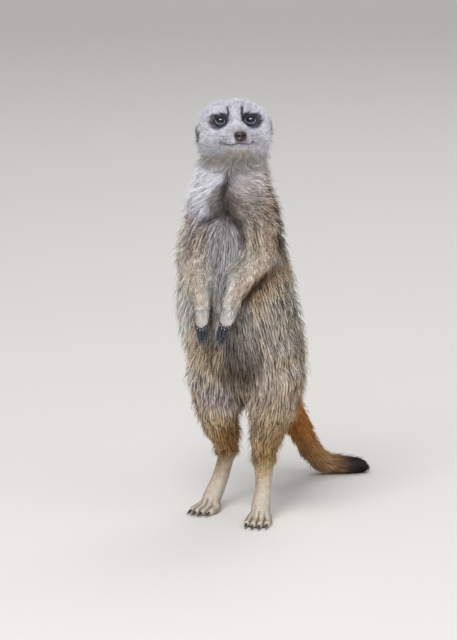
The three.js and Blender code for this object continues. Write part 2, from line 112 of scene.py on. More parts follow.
TAIL = [
    (17, 32, 114), (26, 54, 94), (36.5, 77, 69), (45.5, 97, 43), (54, 111, 22.5),
    (63, 119, 10), (75, 123, 6.4), (88, 124.5, 5.8), (100, 124, 4.8),
]

PARTS = [
    "head", "ear_left", "ear_right", "neck", "chest", "belly",
    "upper_arm_left", "forearm_left", "forepaw_left", "upper_arm_right", "forearm_right", "forepaw_right",
    "thigh_left", "shank_left", "hind_foot_left", "thigh_right", "shank_right", "hind_foot_right",
    "tail_base", "tail_middle", "tail_tip",
]

# For each part: passes of smoothing, then coat depth, tuft length, tuft width (mm) and tufts per mm2
COAT = {
    "head": (9, 1.5, 4.2, 0.46, 4.4),
    "ear": (2, 0.3, 1.6, 0.34, 4.0),
    "neck": (16, 2.8, 5.4, 0.44, 3.8),
    "chest": (16, 3.6, 9.5, 0.60, 2.0),
    "belly": (24, 4.6, 13.0, 0.70, 1.7),
    "upper_arm": (12, 2.6, 6.4, 0.50, 3.4),
    "forearm": (12, 1.7, 4.6, 0.42, 4.2),
    "forepaw": (3, 0.5, 3.0, 0.36, 5.0),
    "thigh": (24, 3.8, 12.0, 0.66, 2.0),
    "shank": (14, 2.0, 7.8, 0.50, 3.0),
    "hind_foot": (3, 0.5, 3.0, 0.40, 6.5),
    "tail_base": (18, 2.6, 9.5, 0.6, 1.7),
    "tail_middle": (14, 2.2, 8.5, 0.56, 1.9),
    "tail_tip": (12, 1.8, 8.5, 0.52, 2.3),
}
COAT_TABLE = np.array([COAT[max((k for k in COAT if part.startswith(k)), key=len)] for part in PARTS])

SWELL = 0.45  # how far the solids are swollen before they are joined, so that the cuts between them close
SKIN_GAP = 0.3  # from the roots of the coat down to the hide
MERGE = 1e-6  # metres between points of a solid that are the same point
NOSE_GRAIN = 0.00028  # metres

# The two kinds of tuft: share of the lock's size and its length, the edges of the dark gaps between locks,
# how much the tips gather, the girth of each ring from the root up, and the triangles between the rings
TUFTS = {
    "short": dict(
        lock=0.7, long=1.0, gap=(0.14, 0.46), gather=0.5, girths=(1.0,),
        triangles=[(0, 3, 2), (2, 3, 1), (1, 3, 0), (0, 2, 1)],
    ),
    "long": dict(
        lock=1, long=2.1, gap=(0.2, 0.78), gather=1, girths=(0.95, 0.85),
        triangles=[
            (0, 5, 2), (0, 3, 5), (2, 4, 1), (2, 5, 4), (1, 3, 0),
            (1, 4, 3), (3, 6, 5), (5, 6, 4), (4, 6, 3), (0, 2, 1),
        ],
    ),
}
MOST_TRIANGLES = 195000  # in one piece of coat
BAKE_PATCH = 0.003  # side of a tuft's patch on the OFBake map
BRIGHTEST = 0.92  # no colour of the coat is painted lighter
ROOT_DEPTH = 0.35  # of a tuft under the hide
STRAYS = 0.09  # share of the tufts that stand up from the rest
TALLEST = 13.5  # the tips stand off the hide by this at most
SOLE = 1.8  # below this height nothing grows on what faces down
CHIN = 266  # the face lies above this height
FLOOR_GAP = 0.4  # the coat stays this far above the floor


# ---------------------------------------------------------------- small sums


def to_mm(points):
    return np.asarray(points, float) * 1000 - ORIGIN


def to_frame(points):
    return (np.asarray(points, float) + ORIGIN) / 1000


def unit(v):
    return v / np.maximum(np.linalg.norm(v, axis=-1, keepdims=True), 1e-9)


def dot(a, b):
    return (a * b).sum(-1, keepdims=True)


def soft(x, low, high):
    t = np.clip((x - low) / (high - low), 0, 1)
    return t * t * (3 - 2 * t)


def blend(a, b, share):
    share = np.asarray(share)[..., None] if np.ndim(share) == 1 else share
    return a + (np.asarray(b) - a) * share


def all_of(colour, count):
    return np.tile(colour, (count, 1))


def ripple(p, size, seed=0):
    """Smooth uneven value from about -1 to 1 that doesn't repeat."""
    rng = np.random.default_rng(seed)
    total = np.zeros(len(p))
    for _ in range(7):
        way = unit(rng.normal(size=3)) * rng.uniform(0.6, 1.6) * math.tau / size
        total += np.sin(p @ way + rng.uniform(0, math.tau))
    return total / 3.6


def strands(p, lie, across, size, long, seed):
    """Uneven stripes of even width, from -1 to 1, that run along one way and change across the other."""
    rng = np.random.default_rng(seed)
    level, rest = np.zeros(len(p)), np.full(len(p), 1e-6)
    for _ in range(50):
        wave = unit(rng.normal(size=3)) * rng.uniform(0.75, 1.3) * math.tau / size
        share = np.exp(-((lie @ wave * long) ** 2) / 2) * (across @ wave) ** 3
        turn = p @ wave + rng.uniform(0, math.tau)
        level += share * np.sin(turn)
        rest += np.abs(share) * np.cos(turn)
    return level / np.hypot(level, rest)


def to_stretches(p, points):
    """Each stretch of a line, and where it comes nearest to each point: share, place and distance."""
    points = np.asarray(points, float)
    a, d = points[:-1], np.diff(points, axis=0)
    t = np.clip(((p[:, None] - a) * d).sum(-1) / (d * d).sum(-1), 0, 1)
    on = a + d * t[..., None]
    return d, t, on, np.linalg.norm(p[:, None] - on, axis=-1)


def near_line(p, points):
    """Distance from each point to a line through given points, and how far along it."""
    d, t, _, gap = to_stretches(p, points)
    k, rows = gap.argmin(1), np.arange(len(p))
    return gap[rows, k], (k + t[rows, k]) / len(d)


def along(p, joints, spread=3.0):
    """The way the nearest stretch of a limb runs, how far along it each point is, and the point on it."""
    d, t, on, gap = to_stretches(p, joints)
    weight = np.exp(-(gap - gap.min(1, keepdims=True)) / spread)
    way = unit((weight[..., None] * unit(d)).sum(1))
    k, rows = gap.argmin(1), np.arange(len(p))
    return way, (k + t[rows, k]) / len(d), on[rows, k]


def head_axes():
    cy, sy, cp, sp = math.cos(HEAD_TURN), math.sin(HEAD_TURN), math.cos(HEAD_TILT), math.sin(HEAD_TILT)
    return np.array([(cy, sy, 0), (sy * cp, -cy * cp, sp), (-sy * sp, cy * sp, cp)])


def in_head(p):
    """Points as distances beside, before and above the head's centre."""
    return (p - HEAD_CENTRE) @ head_axes().T


def from_head(q):
    return np.asarray(q, float) @ head_axes() + HEAD_CENTRE


def trunk_place(p):
    """Distances left of the trunk's middle and before it, and the angle round from the breastbone."""
    z = p[:, 2]
    cx, cy, yaw = (np.interp(z, TRUNK[:, 0], TRUNK[:, i]) for i in (1, 2, 3))
    yaw = np.radians(yaw)
    dx, dy = p[:, 0] - cx, p[:, 1] - cy
    left = dx * np.cos(yaw) - dy * np.sin(yaw)
    before = -dx * np.sin(yaw) - dy * np.cos(yaw)
    return left, before, np.arctan2(left, before)


def is_part(code, *names):
    wanted = [i for i, part in enumerate(PARTS) if part.startswith(names)]
    return np.isin(code, wanted)


def arm_parts(side):
    return f"upper_arm_{side}", f"forearm_{side}", f"forepaw_{side}"


def leg_parts(side):
    return f"thigh_{side}", f"shank_{side}", f"hind_foot_{side}"


# ---------------------------------------------------------------- markings

LAVENDER = (0.78, 0.76, 0.88)
SILVER = (0.37, 0.35, 0.355)
SAND = (0.46, 0.355, 0.27)
UMBER = (0.27, 0.205, 0.15)
BARK = (0.055, 0.038, 0.030)
SOOT = (0.022, 0.016, 0.018)
SLATE = (0.068, 0.068, 0.094)
RUST = (0.38, 0.145, 0.028)
FOX = (0.42, 0.245, 0.115)
# the belly's own dark brown, darkened further as painted shade deep in the hollow between the thighs
SHADED_HOLLOW = (0.075, 0.053, 0.038)
DUST = (0.26, 0.20, 0.15)
PALE_BELLY = (0.37, 0.33, 0.30)
BEIGE = (0.56, 0.47, 0.40)

# lines of the throat's parting and the dark whorl on the chest (side, height)
PARTING = [(-3.2, 272), (-8.8, 257.6), (-11, 243), (-10.2, 231)]
WHORL = [(-24, 225), (-17, 227), (-10.2, 232), (-2, 225), (3.6, 213)]
# lines of the mouth, from the head's centre, and of the streak of one brow, from the eye (beside, above)
MOUTH = [
    (-11.9, -11.3), (-10.4, -12.6), (-8.6, -13.4), (-5, -13.1), (-1.2, -12.7),
    (3, -13.0), (6.6, -13.2), (8.6, -12.4), (9.6, -11.3),
]
MOUTH_CORNERS = [(-11.7, -11.4), (9.4, -11.4)]
BROW = [(-5.4, 8.0), (-6.2, 4.0), (-6.0, -1.5)]
# how far the dark patch round an eye reaches, every 20 degrees from outwards round over the top
PATCH = (8.5, 8.2, 6.9, 5.4, 4.7, 4.9, 5.7, 6.4, 6.4, 6.2, 5.9, 5.8, 6.4, 7.6, 8.6, 8.8, 8.5, 9.0)
# side and height of the left forearm's lower edge over the flank, and of the crease behind that shoulder,
# where shade is painted
UNDER_ARM = [(33, 203), (24.5, 192), (12.7, 184.8), (1.5, 172), (-3.3, 157), (-5, 146)]
SHOULDER_CREASE_SHADE = [(17, 246), (21.5, 235), (25.5, 222), (26.5, 206)]
# heights at which the belly's dark hollow has its right and left edges
HOLLOW_HEIGHTS = [88, 97, 110, 125, 150, 168]
HOLLOW_RIGHT = [-3, -4, -10, -17, -22, -23]
HOLLOW_LEFT = [1, 3, 9, 12.5, 12, 7]


def under_arm(p):
    """How far each point is above the lower edge of the left forearm, seen from the front."""
    x = np.array(UNDER_ARM, float)[::-1]
    return (p[:, 2] - np.interp(p[:, 0], x[:, 0], x[:, 1])) * 0.75


def eye_middle(side):
    return np.array([side * EYE[0] + FACE_SHIFT, EYE[1], EYE[2]])


def eye_axes(side):
    """Outward, forward and upward directions of an eye, on the head's axes."""
    ahead = head_axes() @ unit(np.array(LOOK) + (side * 0.06, 0, 0))
    up = unit(np.array([0, 0, 1]) - ahead * ahead[2])
    out = np.cross(ahead, up)
    return np.array([out * np.sign(out[0]) * side, ahead, up])


def eye_place(q, side):
    """Across (outwards), depth and height of points from an eye, in the eye's own directions."""
    return ((q - eye_middle(side)) @ eye_axes(side).T).T


def eye_ring(x, y):
    """Size of the almond through a point round the eye: the lids open along the almond of size 2.9."""
    return np.hypot(x, y * (1.14 + 0.18 * soft(y, 0, 2.5)))


def head_ground(p, q, rough, back):
    """The head without the marks of the eyes, mouth and ears."""
    a, f, u = q.T
    ground = blend(all_of(LAVENDER, len(p)), (0.62, 0.59, 0.65), soft(u + rough, 9, 17))
    ground = blend(ground, SAND, back * 0.8)
    low = soft(-u + rough * 0.7, 17.5, 22.0) * soft(f, -16, -4)
    ground = blend(ground, (0.43, 0.385, 0.34), low)
    chin = soft(-u, 15.8, 18.0) * soft(f, 8, 18) * (1 - soft(np.abs(a), 7, 11))
    ground = blend(ground, BEIGE, chin)
    snout = soft(f, 26, 34) * soft(-u, -3, 8) * (1 - soft(np.abs(a), 3, 8)) * soft(14 + u, 0, 2)
    ground = blend(ground, (0.33, 0.25, 0.235), snout * 0.75)
    fleck = soft(ripple(p, 2.6, 4) + 0.5 * ripple(p, 1.3, 14), 0.1, 1.0)
    ground = ground * (1 - 0.34 * fleck)[:, None]
    brow = soft(f, 8, 16) * (1 - soft(np.abs(a), 4, 9)) * soft(u, -6, 2)
    return ground * (1 - 0.2 * brow)[:, None]


def eye_surround(p, q, side, rough, head, contrast):
    """Adds one eye's dark patch, brow streak and lids, with a painted highlight along the lower lid, to the
    head's colour, and lowers the contrast.
    """
    x, depth, y = eye_place(q, side)
    before = soft(depth, -6, -1)
    if side == 1:
        x = x + 0.7 * soft(-x, 0, 4)
    turn = np.degrees(np.arctan2(y, x)) % 360
    edge = np.interp(turn, np.arange(0, 360, 20), PATCH, period=360) * (1 + rough * 0.05)
    away, ring = np.hypot(x, y), eye_ring(x, y)
    patch = 1 - soft(away / edge + ripple(p, 2.2, 18) * 0.05, 0.76, 1.12)
    streak = 1 - soft(near_line(np.stack([x, y], 1), BROW)[0] + rough * 0.3, 0.5, 1.3)
    pool = soft(-y, 1.0, 3.2) * (1 - soft(away, 5.6, 7.2)) * (1 - soft(np.abs(x), 3.0, 5.0))
    inner = soft(-x, 3.2, 3.9) * (1 - soft(-x, 4.9, 5.5)) * soft(y, -3, 0) * (1 - soft(y, 2.0, 3.6))
    shade = blend(all_of(SLATE, len(p)), (0.24, 0.25, 0.34), np.maximum(pool * 0.75, inner * 0.8))
    outer = soft(x, 3.6, 4.4) * (1 - soft(x, 5.0, 6.2)) * soft(y, -4, -1) * (1 - soft(y, 1, 3))
    shade = blend(shade, (0.20, 0.165, 0.175), outer * 0.8)
    corner = soft(x, 4.8, 6.8) + soft(-y, 5.6, 7.4) * soft(x, -1, 1)
    shade = blend(shade, (0.050, 0.030, 0.030), np.clip(corner, 0, 1) * 0.9)
    arch = (1 - soft(np.abs(ring - 5.0), 0.35, 0.9)) * soft(y, 1.5, 3)
    shade = blend(shade, (0.028, 0.018, 0.020), np.maximum(streak, arch))
    head = blend(head, shade, np.maximum(patch, streak * 0.95) * before)
    contrast[:] = contrast * (1 - 0.6 * np.maximum(patch, streak) * before)
    head = blend(head, (0.020, 0.017, 0.026), (1 - soft(np.abs(ring - 3.85), 0.3, 0.8)) * before * 0.9)
    # painted highlight: a pale blue-grey glint along the rim of the lower lid
    lid = (1 - soft(np.abs(ring - 3.32), 0.2, 0.42)) * before * soft(-y, -0.6, 0.8)
    head = blend(head, (0.36, 0.38, 0.48), lid)
    return blend(head, SOOT, (1 - soft(ring, 2.8, 3.05)) * before)


def head_colour(p, colour, contrast):
    q = in_head(p)
    a, f, u = q.T
    rough = ripple(p, 5, 3)
    back = soft(-f + rough, -1, 12)
    head = head_ground(p, q, rough, back)
    contrast[:] = 0.44 + 0.16 * back
    for side in (-1, 1):
        head = eye_surround(p, q, side, rough, head, contrast)
    lip, _ = near_line(np.stack([a, u], 1), MOUTH)
    lips = (1 - soft(lip, 0.25, 0.85)) * soft(f, 14, 18)
    for corner in MOUTH_CORNERS:
        hook = np.hypot((a - corner[0]) / 1.5, (u - corner[1]) / 1.0)
        lips = np.maximum(lips, (1 - soft(hook, 0.5, 1.1)) * soft(f, 12, 16) * 0.9)
    head = blend(head, (0.07, 0.05, 0.05), lips)
    by_ear = soft(np.abs(a) + 1.2 * (a < 0), 21.8, 23.4) * (1 - soft(u, -4.5, -2.5)) * soft(u, -13.5, -11.5)
    by_ear = by_ear * soft(f, -11, -8) * (1 - soft(f - 5.0 * (a < 0), 5, 8))
    colour[:] = blend(head, SOOT, by_ear * 0.9)


def ear_colour(p, colour, contrast):
    _, f, u = in_head(p).T
    rim = soft(np.hypot((f + 2.5) / 1.2, u + 2.8), 4.6, 6.4)
    dark = blend(all_of(SOOT, len(p)), (0.20, 0.165, 0.17), rim * soft(-f, -2, 3))
    colour[:] = blend(dark, (0.56, 0.54, 0.60), soft(u, -4.0, -2.0) * soft(f, -9, -4))
    contrast[:] = 0.35


def beside_parting(p):
    """How far each point is to the left of the line down the throat."""
    return p[:, 0] - np.interp(p[:, 2], [217, 231, 257.6, 271], [-9, -10.4, -8.8, -3.2])


def flank_colour(p, left, turn, spine, fringe, fine):
    """The flanks and back, with the cross bands of the back and the pale fringe of the right flank."""
    z, wide = p[:, 2], ripple(p, 26, 5)
    flank = blend(all_of(SAND, len(p)) * 0.9, UMBER, soft(wide, -0.4, 0.9) * 0.35)
    flank = blend(flank, UMBER, spine * 0.75)
    bands = np.cos(z / 13.0 * math.tau + wide * 1.1) * 0.5 + 0.5
    bands = soft(bands + fine * 0.22, 0.55, 0.85) * soft(-turn, 0.05, 0.45)
    bands = bands * soft(z, 88, 105) * (1 - soft(z, 205, 228))
    flank = blend(flank, BARK, bands * 0.62)
    flank = blend(flank, (0.66, 0.53, 0.40), fringe * soft(turn, -0.95, -0.35) * 0.5)
    flank = blend(flank, (0.92, 0.81, 0.69), fringe * soft(turn, -0.45, 0.0))
    return blend(flank, (0.42, 0.365, 0.305), soft(left + wide * 4, 20, 32) * 0.7)


def throat_colour(across, z):
    """The throat: cool and pale to the right of the parting, warmer and darker to its left."""
    throat = blend(all_of((0.80, 0.79, 0.90), len(z)), (0.84, 0.74, 0.71), soft(across, 0, 2.5))
    cool = soft(across, -1, 1) * (1 - soft(across, 5, 12)) * soft(z, 246, 258)
    throat = blend(throat, (0.42, 0.43, 0.49), cool * 0.7)
    throat = blend(throat, (0.31, 0.25, 0.215), soft(across, 0, 3) * (1 - soft(z, 236, 258)) * 0.85)
    return blend(throat, (0.36, 0.265, 0.20), soft(across, 18, 30))


def trunk_colour(p, colour, contrast):
    left, _, angle = trunk_place(p)
    x, _, z = p.T
    turn, fine = np.cos(angle), ripple(p, 8, 6)
    spine = soft(-turn + fine * 0.12, 0.1, 0.8)
    fringe = soft(-left, 18, 30) * (1 - soft(z, 185, 205)) * soft(z, 92, 122)
    neck = soft(z, 222, 250)
    nape = blend(all_of(BEIGE, len(p)), SAND, spine)
    flank = blend(flank_colour(p, left, turn, spine, fringe, fine), nape, neck)
    silver = soft(turn + fine * 0.03, 0.74, 0.9) * soft(z + fine * 4, 150, 172)
    colour[:] = blend(flank, SILVER, silver)
    here = np.stack([x, z], 1)
    forward = soft(turn, 0.0, 0.45)
    across = beside_parting(p)
    high = soft(z + fine * 2.5, 221, 231)
    shown = high * np.maximum(forward, soft(-across, 8, 14) * soft(turn, -0.4, 0.0))
    colour[:] = blend(colour, throat_colour(across, z), shown)
    whorl = np.hypot((x + 12 - (z - 240) * 0.12) / (10.5 - 0.26 * (z - 238)), (z - 240) / 16)
    whorl = whorl + ripple(p, 4, 15) * 0.13
    colour[:] = blend(colour, (0.15, 0.125, 0.10), (1 - soft(whorl, 0.55, 1.08)) * forward * 0.88)
    # painted shade: the trunk is darkened beside and behind each arm, where the arm lies close to it
    for side, reach in (("left", 9.5), ("right", 10.0)):
        arm, place = near_line(p, ARM[side])
        near = (1 - soft(arm + fine * 0.8, reach, reach + 6)) * soft(place, 0.3, 0.42) * soft(x, -42, -35)
        colour[:] = colour * (1 - 0.62 * near)[:, None]
    part, _ = near_line(here, PARTING)
    swirl, _ = near_line(here, WHORL)
    part = 1 - soft(part, 0.9, 2.3 + 1.2 * (z < 243))
    dark = np.maximum(part, (1 - soft(swirl + fine * 0.8, 1.4, 5.0)) * 0.92)
    colour[:] = blend(colour, (0.040, 0.030, 0.026), dark * forward)
    beside = (1 - soft(across, -3, 3)) * soft(turn, -0.3, 0.3)
    contrast[:] = 1.0 - 0.3 * neck - 0.35 * silver - 0.5 * high * beside
    contrast[:] = contrast - 0.4 * fringe * soft(turn, -0.4, 0.0) * (1 - neck)
    under_the_arm(p, colour)


def under_the_arm(p, colour):
    """Painted shade below the left forearm, an orange-brown band and a dark line, and in the crease behind
    the left shoulder.
    """
    x, y, z = p.T
    fine = ripple(p, 5, 17)
    front = soft(-y, -12, -2) * soft(x, -6, -2)
    gap = under_arm(p)
    # painted shade: an orange-brown band on the flank just below the forearm's lower edge
    below = soft(-gap, -0.5, 1) * (1 - soft(-gap, 6, 15)) * front
    colour[:] = blend(colour, (0.40, 0.255, 0.13), below * 0.6)
    # painted shadow: a dark line along the forearm's lower edge
    line = (1 - soft(np.abs(gap + 0.8 + fine * 0.5), 0.8, 2.5)) * front * (1 - soft(x, 16, 27) * 0.7)
    colour[:] = blend(colour, (0.045, 0.028, 0.018), line * 0.95)
    # painted shade in the crease behind the left shoulder
    crease_shade, _ = near_line(np.stack([x, z], 1), SHOULDER_CREASE_SHADE)
    crease_shade = (1 - soft(crease_shade + fine * 1.2, 0.8, 3.4)) * soft(-y, -9, 2)
    colour[:] = blend(colour, (0.07, 0.05, 0.035), crease_shade * 0.8)


def lower_front(p, colour):
    """Adds the dark hollow between the thighs, dark brown with painted shade, the painted shade in its folds,
    and the fronts of the thighs to a colour.
    """
    x, _, z = p.T
    fine = ripple(p, 6, 16)
    ahead = trunk_place(p)[1]
    seen = soft(ahead, 2, 12) * soft(z, 84, 92) * (1 - soft(z, 168, 180))
    right, left = (np.interp(z, HOLLOW_HEIGHTS, edge) for edge in (HOLLOW_RIGHT, HOLLOW_LEFT))
    inside = soft(x + fine, right - 1, right + 2) * (1 - soft(x + fine, left - 2, left + 1)) * seen
    # the hollow is the belly's dark brown with painted shade
    belly = blend(all_of(SHADED_HOLLOW, len(p)), DUST, soft(z, 98, 104) * (1 - soft(z, 110, 118)))
    belly = blend(belly, PALE_BELLY, soft(z, 114, 170))
    tuft = (1 - soft(np.abs(x + 13.5), 2.5, 5)) * soft(z, 112, 118) * (1 - soft(z, 134, 144))
    belly = blend(belly, (0.42, 0.32, 0.22), tuft * 0.8)
    colour = blend(colour, belly, inside * 0.96)
    # painted shade in the folds where the thighs meet the belly, along the hollow's edges
    by_left, by_right = (np.abs(gap + fine * 0.5) for gap in (x - left - 1.2, x - right + 0.8))
    fold_shade = np.maximum(
        (1 - soft(by_left, 0.8, 3.0)) * soft(z, 102, 114) * (1 - soft(z, 134, 142)),
        (1 - soft(by_right, 0.8, 2.6)) * soft(z, 100, 110) * (1 - soft(z, 128, 136)),
    )
    colour = colour * (1 - 0.72 * fold_shade * seen)[:, None]
    rosy = soft(right - x + fine, 1, 4) * (1 - soft(-x, 34, 40))
    rosy = rosy * soft(z, 112, 124) * (1 - soft(z, 142, 152)) * seen
    colour = blend(colour, (0.60, 0.40, 0.25), rosy * 0.7)
    grey = (1 - soft(x, -10, -4)) * (1 - soft(-x + fine * 2, 24, 33)) * soft(z, 84, 94)
    grey = grey * (1 - soft(z + fine * 2, 104, 114)) * soft(ahead, 0, 8)
    return blend(colour, (0.42, 0.35, 0.345), grey * 0.75)


def arm_colour(p, side, colour, contrast):
    _, t, on = along(p, ARM[side])
    off = unit(p - on)
    s = 1 if side == "left" else -1
    fine = ripple(p, 6, 8)
    shoulder = all_of((0.40, 0.295, 0.22), len(p))
    shoulder = blend(shoulder, (0.40, 0.33, 0.275), soft(off[:, 0] * -s, -0.2, 0.6))
    pale = soft(off[:, 0] * -s + fine * 0.15, 0.1, 0.7)
    lower = blend(all_of((0.63, 0.495, 0.395), len(p)), (0.90, 0.80, 0.70), pale)
    under = soft(off[:, 0] * s * 0.8 + off[:, 1] * 0.5 + fine * 0.15, 0.35, 0.8)
    lower = blend(lower, FOX, under * soft(t, 0.25, 0.45) * (1 - soft(t, 0.72, 0.85)))
    all_over = blend(shoulder, lower, soft(t + fine * 0.04, 0.22, 0.46))
    if side == "right":
        all_over = blend(all_over, (0.38, 0.33, 0.32), (1 - soft(t, 0.2, 0.5)) * 0.8)
        all_over = blend(all_over, (0.86, 0.74, 0.60), soft(-off[:, 0], 0.45, 0.85) * 0.8)
    colour[:] = blend(all_over, (0.80, 0.74, 0.68), soft(t, 0.70, 0.85))
    contrast[:] = 0.9 - 0.1 * soft(t, 0.25, 0.5) - 0.4 * soft(t, 0.75, 0.9)
    if side == "left":
        flank = soft(-under_arm(p), -0.5, 1.5) * soft(p[:, 0], -6, -2)
        colour[:] = blend(colour, SAND, flank)
        above = (1 - soft(under_arm(p), 1, 7)) * (1 - flank) * soft(p[:, 0], -3, 6)
        colour[:] = blend(colour, (0.50, 0.33, 0.18), above * 0.7)
        under_the_arm(p, colour)


def toe_gap(p, side):
    """1 in the gaps between the toes of a hind foot, falling to 0 on the toes."""
    instep, ball = (np.array(LEG[side][k], float) for k in (-3, -2))
    heading = unit((ball - instep) * (1, 1, 0))
    across = np.array([heading[1], -heading[0], 0])
    reach = (p - ball) @ heading
    place = (p - ball) @ across / (4.2 + 0.07 * reach)
    gap = np.abs(place - np.clip(np.round(place), -1, 1)) * 4.4
    return (1 - soft(gap, 0.35, 1.25)) * soft(reach, 1.5, 6) * (1 - soft(p[:, 2], 9, 12))


def leg_colour(p, side, colour, contrast):
    off = unit(p - along(p, LEG[side])[2])
    z = p[:, 2]
    fine = ripple(p, 7, 9)
    inner = soft(off[:, 0] * (-1 if side == "left" else 1), 0.0, 0.7)
    thigh = blend(all_of((0.50, 0.37, 0.26), len(p)), (0.48, 0.38, 0.32), inner * 0.7)
    rear = soft(off[:, 1] * 0.8 + off[:, 0] * 0.45 + fine * 0.15, 0.1, 0.65) * (1 - soft(z, 88, 120))
    thigh = blend(thigh, FOX, rear)
    thigh = blend(thigh, (0.46, 0.29, 0.155), (1 - soft(z + fine * 5, 84, 104)) * 0.6)
    shank = blend(all_of((0.47, 0.265, 0.11), len(p)), RUST, soft(off[:, 1], 0.0, 0.8) * 0.55)
    if side == "right":
        thigh = thigh * 1.45
        shank = blend(shank, (0.30, 0.145, 0.045), soft(off[:, 0], -0.6, 0.4) * 0.7)
    shank = blend(shank, (0.56, 0.40, 0.25), soft(-off[:, 0], 0.2, 0.9) * 0.5)
    top = 84 if side == "left" else 88
    lower = blend(shank, thigh, soft(z + fine * 7 - off[:, 0] * 6, top - 34, top + 4))
    warm = 1 - soft(z + fine * 6 - off[:, 0] * 5, 22, 50)
    lower = blend(lower, (0.78, 0.49, 0.27), warm)
    ankle = 1 - soft(z + fine * 4 + off[:, 1] * 6 - off[:, 0] * 4, 10, 36)
    colour[:] = blend(lower, (0.95, 0.79, 0.62), ankle)
    # painted shade in the gaps between the toes
    colour[:] = blend(colour, (0.03, 0.022, 0.02), toe_gap(p, side) * 0.9)
    contrast[:] = 0.97 - 0.6 * warm


def tail_colour(p, colour, contrast):
    t = along(p, TAIL)[1]
    fine = ripple(p, 6, 10)
    brush = blend(all_of(RUST, len(p)), (0.37, 0.215, 0.105), soft(t + fine * 0.03, 0.25, 0.62))
    brush = blend(brush, (0.16, 0.085, 0.045), soft(t + fine * 0.03, 0.62, 0.76))
    colour[:] = blend(brush, SOOT, soft(t + fine * 0.02, 0.73, 0.82))
    contrast[:] = 0.34


def markings(p, code):
    """Colour of the coat at points on the animal, and how far roots and tips stand apart in tone."""
    colour, contrast = np.zeros((len(p), 3)), np.full(len(p), 0.6)

    def paint(names, rule, *more):
        chosen = is_part(code, *names)
        shown, apart = colour[chosen], contrast[chosen]
        rule(p[chosen], *more, shown, apart)
        colour[chosen], contrast[chosen] = shown, apart

    paint(["head"], head_colour)
    paint(["neck", "chest", "belly"], trunk_colour)
    for side in ("left", "right"):
        paint(arm_parts(side), arm_colour, side)
        paint(leg_parts(side), leg_colour, side)
    front = is_part(code, "belly", "thigh")
    colour[front] = lower_front(p[front], colour[front])
    paint(["tail"], tail_colour)
    paint(["ear"], ear_colour)
    return np.clip(colour, 0, 1), contrast


# ---------------------------------------------------------------- object handling


def deselect():
    if bpy.context.object and bpy.context.object.mode != "OBJECT":
        bpy.ops.object.mode_set(mode="OBJECT")
    bpy.ops.object.select_all(action="DESELECT")


def pick(obj):
    deselect()
    obj.select_set(True)
    bpy.context.view_layer.objects.active = obj


def apply_modifier(obj, kind, **settings):
    pick(obj)
    modifier = obj.modifiers.new(kind.title(), kind)
    for name, value in settings.items():
        setattr(modifier, name, value)
    bpy.ops.object.modifier_apply(modifier=modifier.name)


def place_object(name, data):
    obj = bpy.data.objects.new(name, data)
    bpy.context.scene.collection.objects.link(obj)
    return obj


def discard(obj):
    mesh = obj.data
    bpy.data.objects.remove(obj)
    bpy.data.meshes.remove(mesh)


def mesh_object(name, points, faces):
    """A new object from points in the part's frame and faces that all have as many corners."""
    points, faces = np.asarray(points, np.float32), np.asarray(faces, np.int32)
    mesh = bpy.data.meshes.new(name)
    count, corners = faces.shape
    mesh.vertices.add(len(points))
    mesh.vertices.foreach_set("co", points.ravel())
    mesh.loops.add(count * corners)
    mesh.loops.foreach_set("vertex_index", faces.ravel())
    mesh.polygons.add(count)
    mesh.polygons.foreach_set("loop_start", np.arange(0, count * corners, corners, dtype=np.int32))
    mesh.polygons.foreach_set("use_smooth", np.ones(count, bool))
    mesh.update(calc_edges=True)
    return place_object(name, mesh)


def read(collection, name, width, kind=np.float32):
    values = np.zeros(len(collection) * width, kind)
    collection.foreach_get(name, values)
    return values.reshape(-1, width) if width > 1 else values


def points_of(mesh):
    return to_mm(read(mesh.vertices, "co", 3))


def normals_of(mesh):
    return read(mesh.vertex_normals, "vector", 3).astype(float)


def edges_of(mesh):
    return read(mesh.edges, "vertices", 2, np.int32)


def triangles_of(mesh):
    mesh.calc_loop_triangles()
    return read(mesh.loop_triangles, "vertices", 3, np.int32)


def move_points(mesh, p):
    mesh.vertices.foreach_set("co", to_frame(p).astype(np.float32).ravel())
    mesh.update()


def smooth_faces(mesh):
    mesh.polygons.foreach_set("use_smooth", np.ones(len(mesh.polygons), bool))


def merged_solid(name):
    """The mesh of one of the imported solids, with the points that its triangles share made one."""
    bm = bmesh.new()
    bm.from_mesh(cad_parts[name].data)
    bmesh.ops.remove_doubles(bm, verts=bm.verts, dist=MERGE)
    return bm


def paint_points(obj, colour):
    rgba = np.ones((len(colour), 4), np.float32)
    rgba[:, :3] = colour
    layer = obj.data.color_attributes.new(name="markings", type="FLOAT_COLOR", domain="POINT")
    layer.data.foreach_set("color", rgba.ravel())


def finish_piece(obj, slot, material, *nodes):
    obj.data.materials.clear()
    obj.data.materials.append(material)
    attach(obj, "root")
    if nodes:
        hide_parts(*nodes)
    deselect()


# ---------------------------------------------------------------- finishes


def new_material(name):
    material = bpy.data.materials.new(name)
    material.use_nodes = True
    tree = material.node_tree
    shader = next(n for n in tree.nodes if n.type == "BSDF_PRINCIPLED")
    return material, tree, shader


def node(tree, kind, **inputs):
    made = tree.nodes.new(kind)
    for name, value in inputs.items():
        key = name.replace("_", " ")
        if key in made.inputs:
            made.inputs[key].default_value = value
        else:
            setattr(made, name, value)
    return made


def noise(tree, scale, detail=3.0, stretch=None):
    place = node(tree, "ShaderNodeTexCoord")
    grain = node(tree, "ShaderNodeTexNoise", Scale=scale, Detail=detail, Roughness=0.6)
    source = place.outputs["Object"]
    if stretch:
        mapping = node(tree, "ShaderNodeMapping", Scale=stretch)
        tree.links.new(source, mapping.inputs["Vector"])
        source = mapping.outputs["Vector"]
    tree.links.new(source, grain.inputs["Vector"])
    return grain.outputs["Fac"]


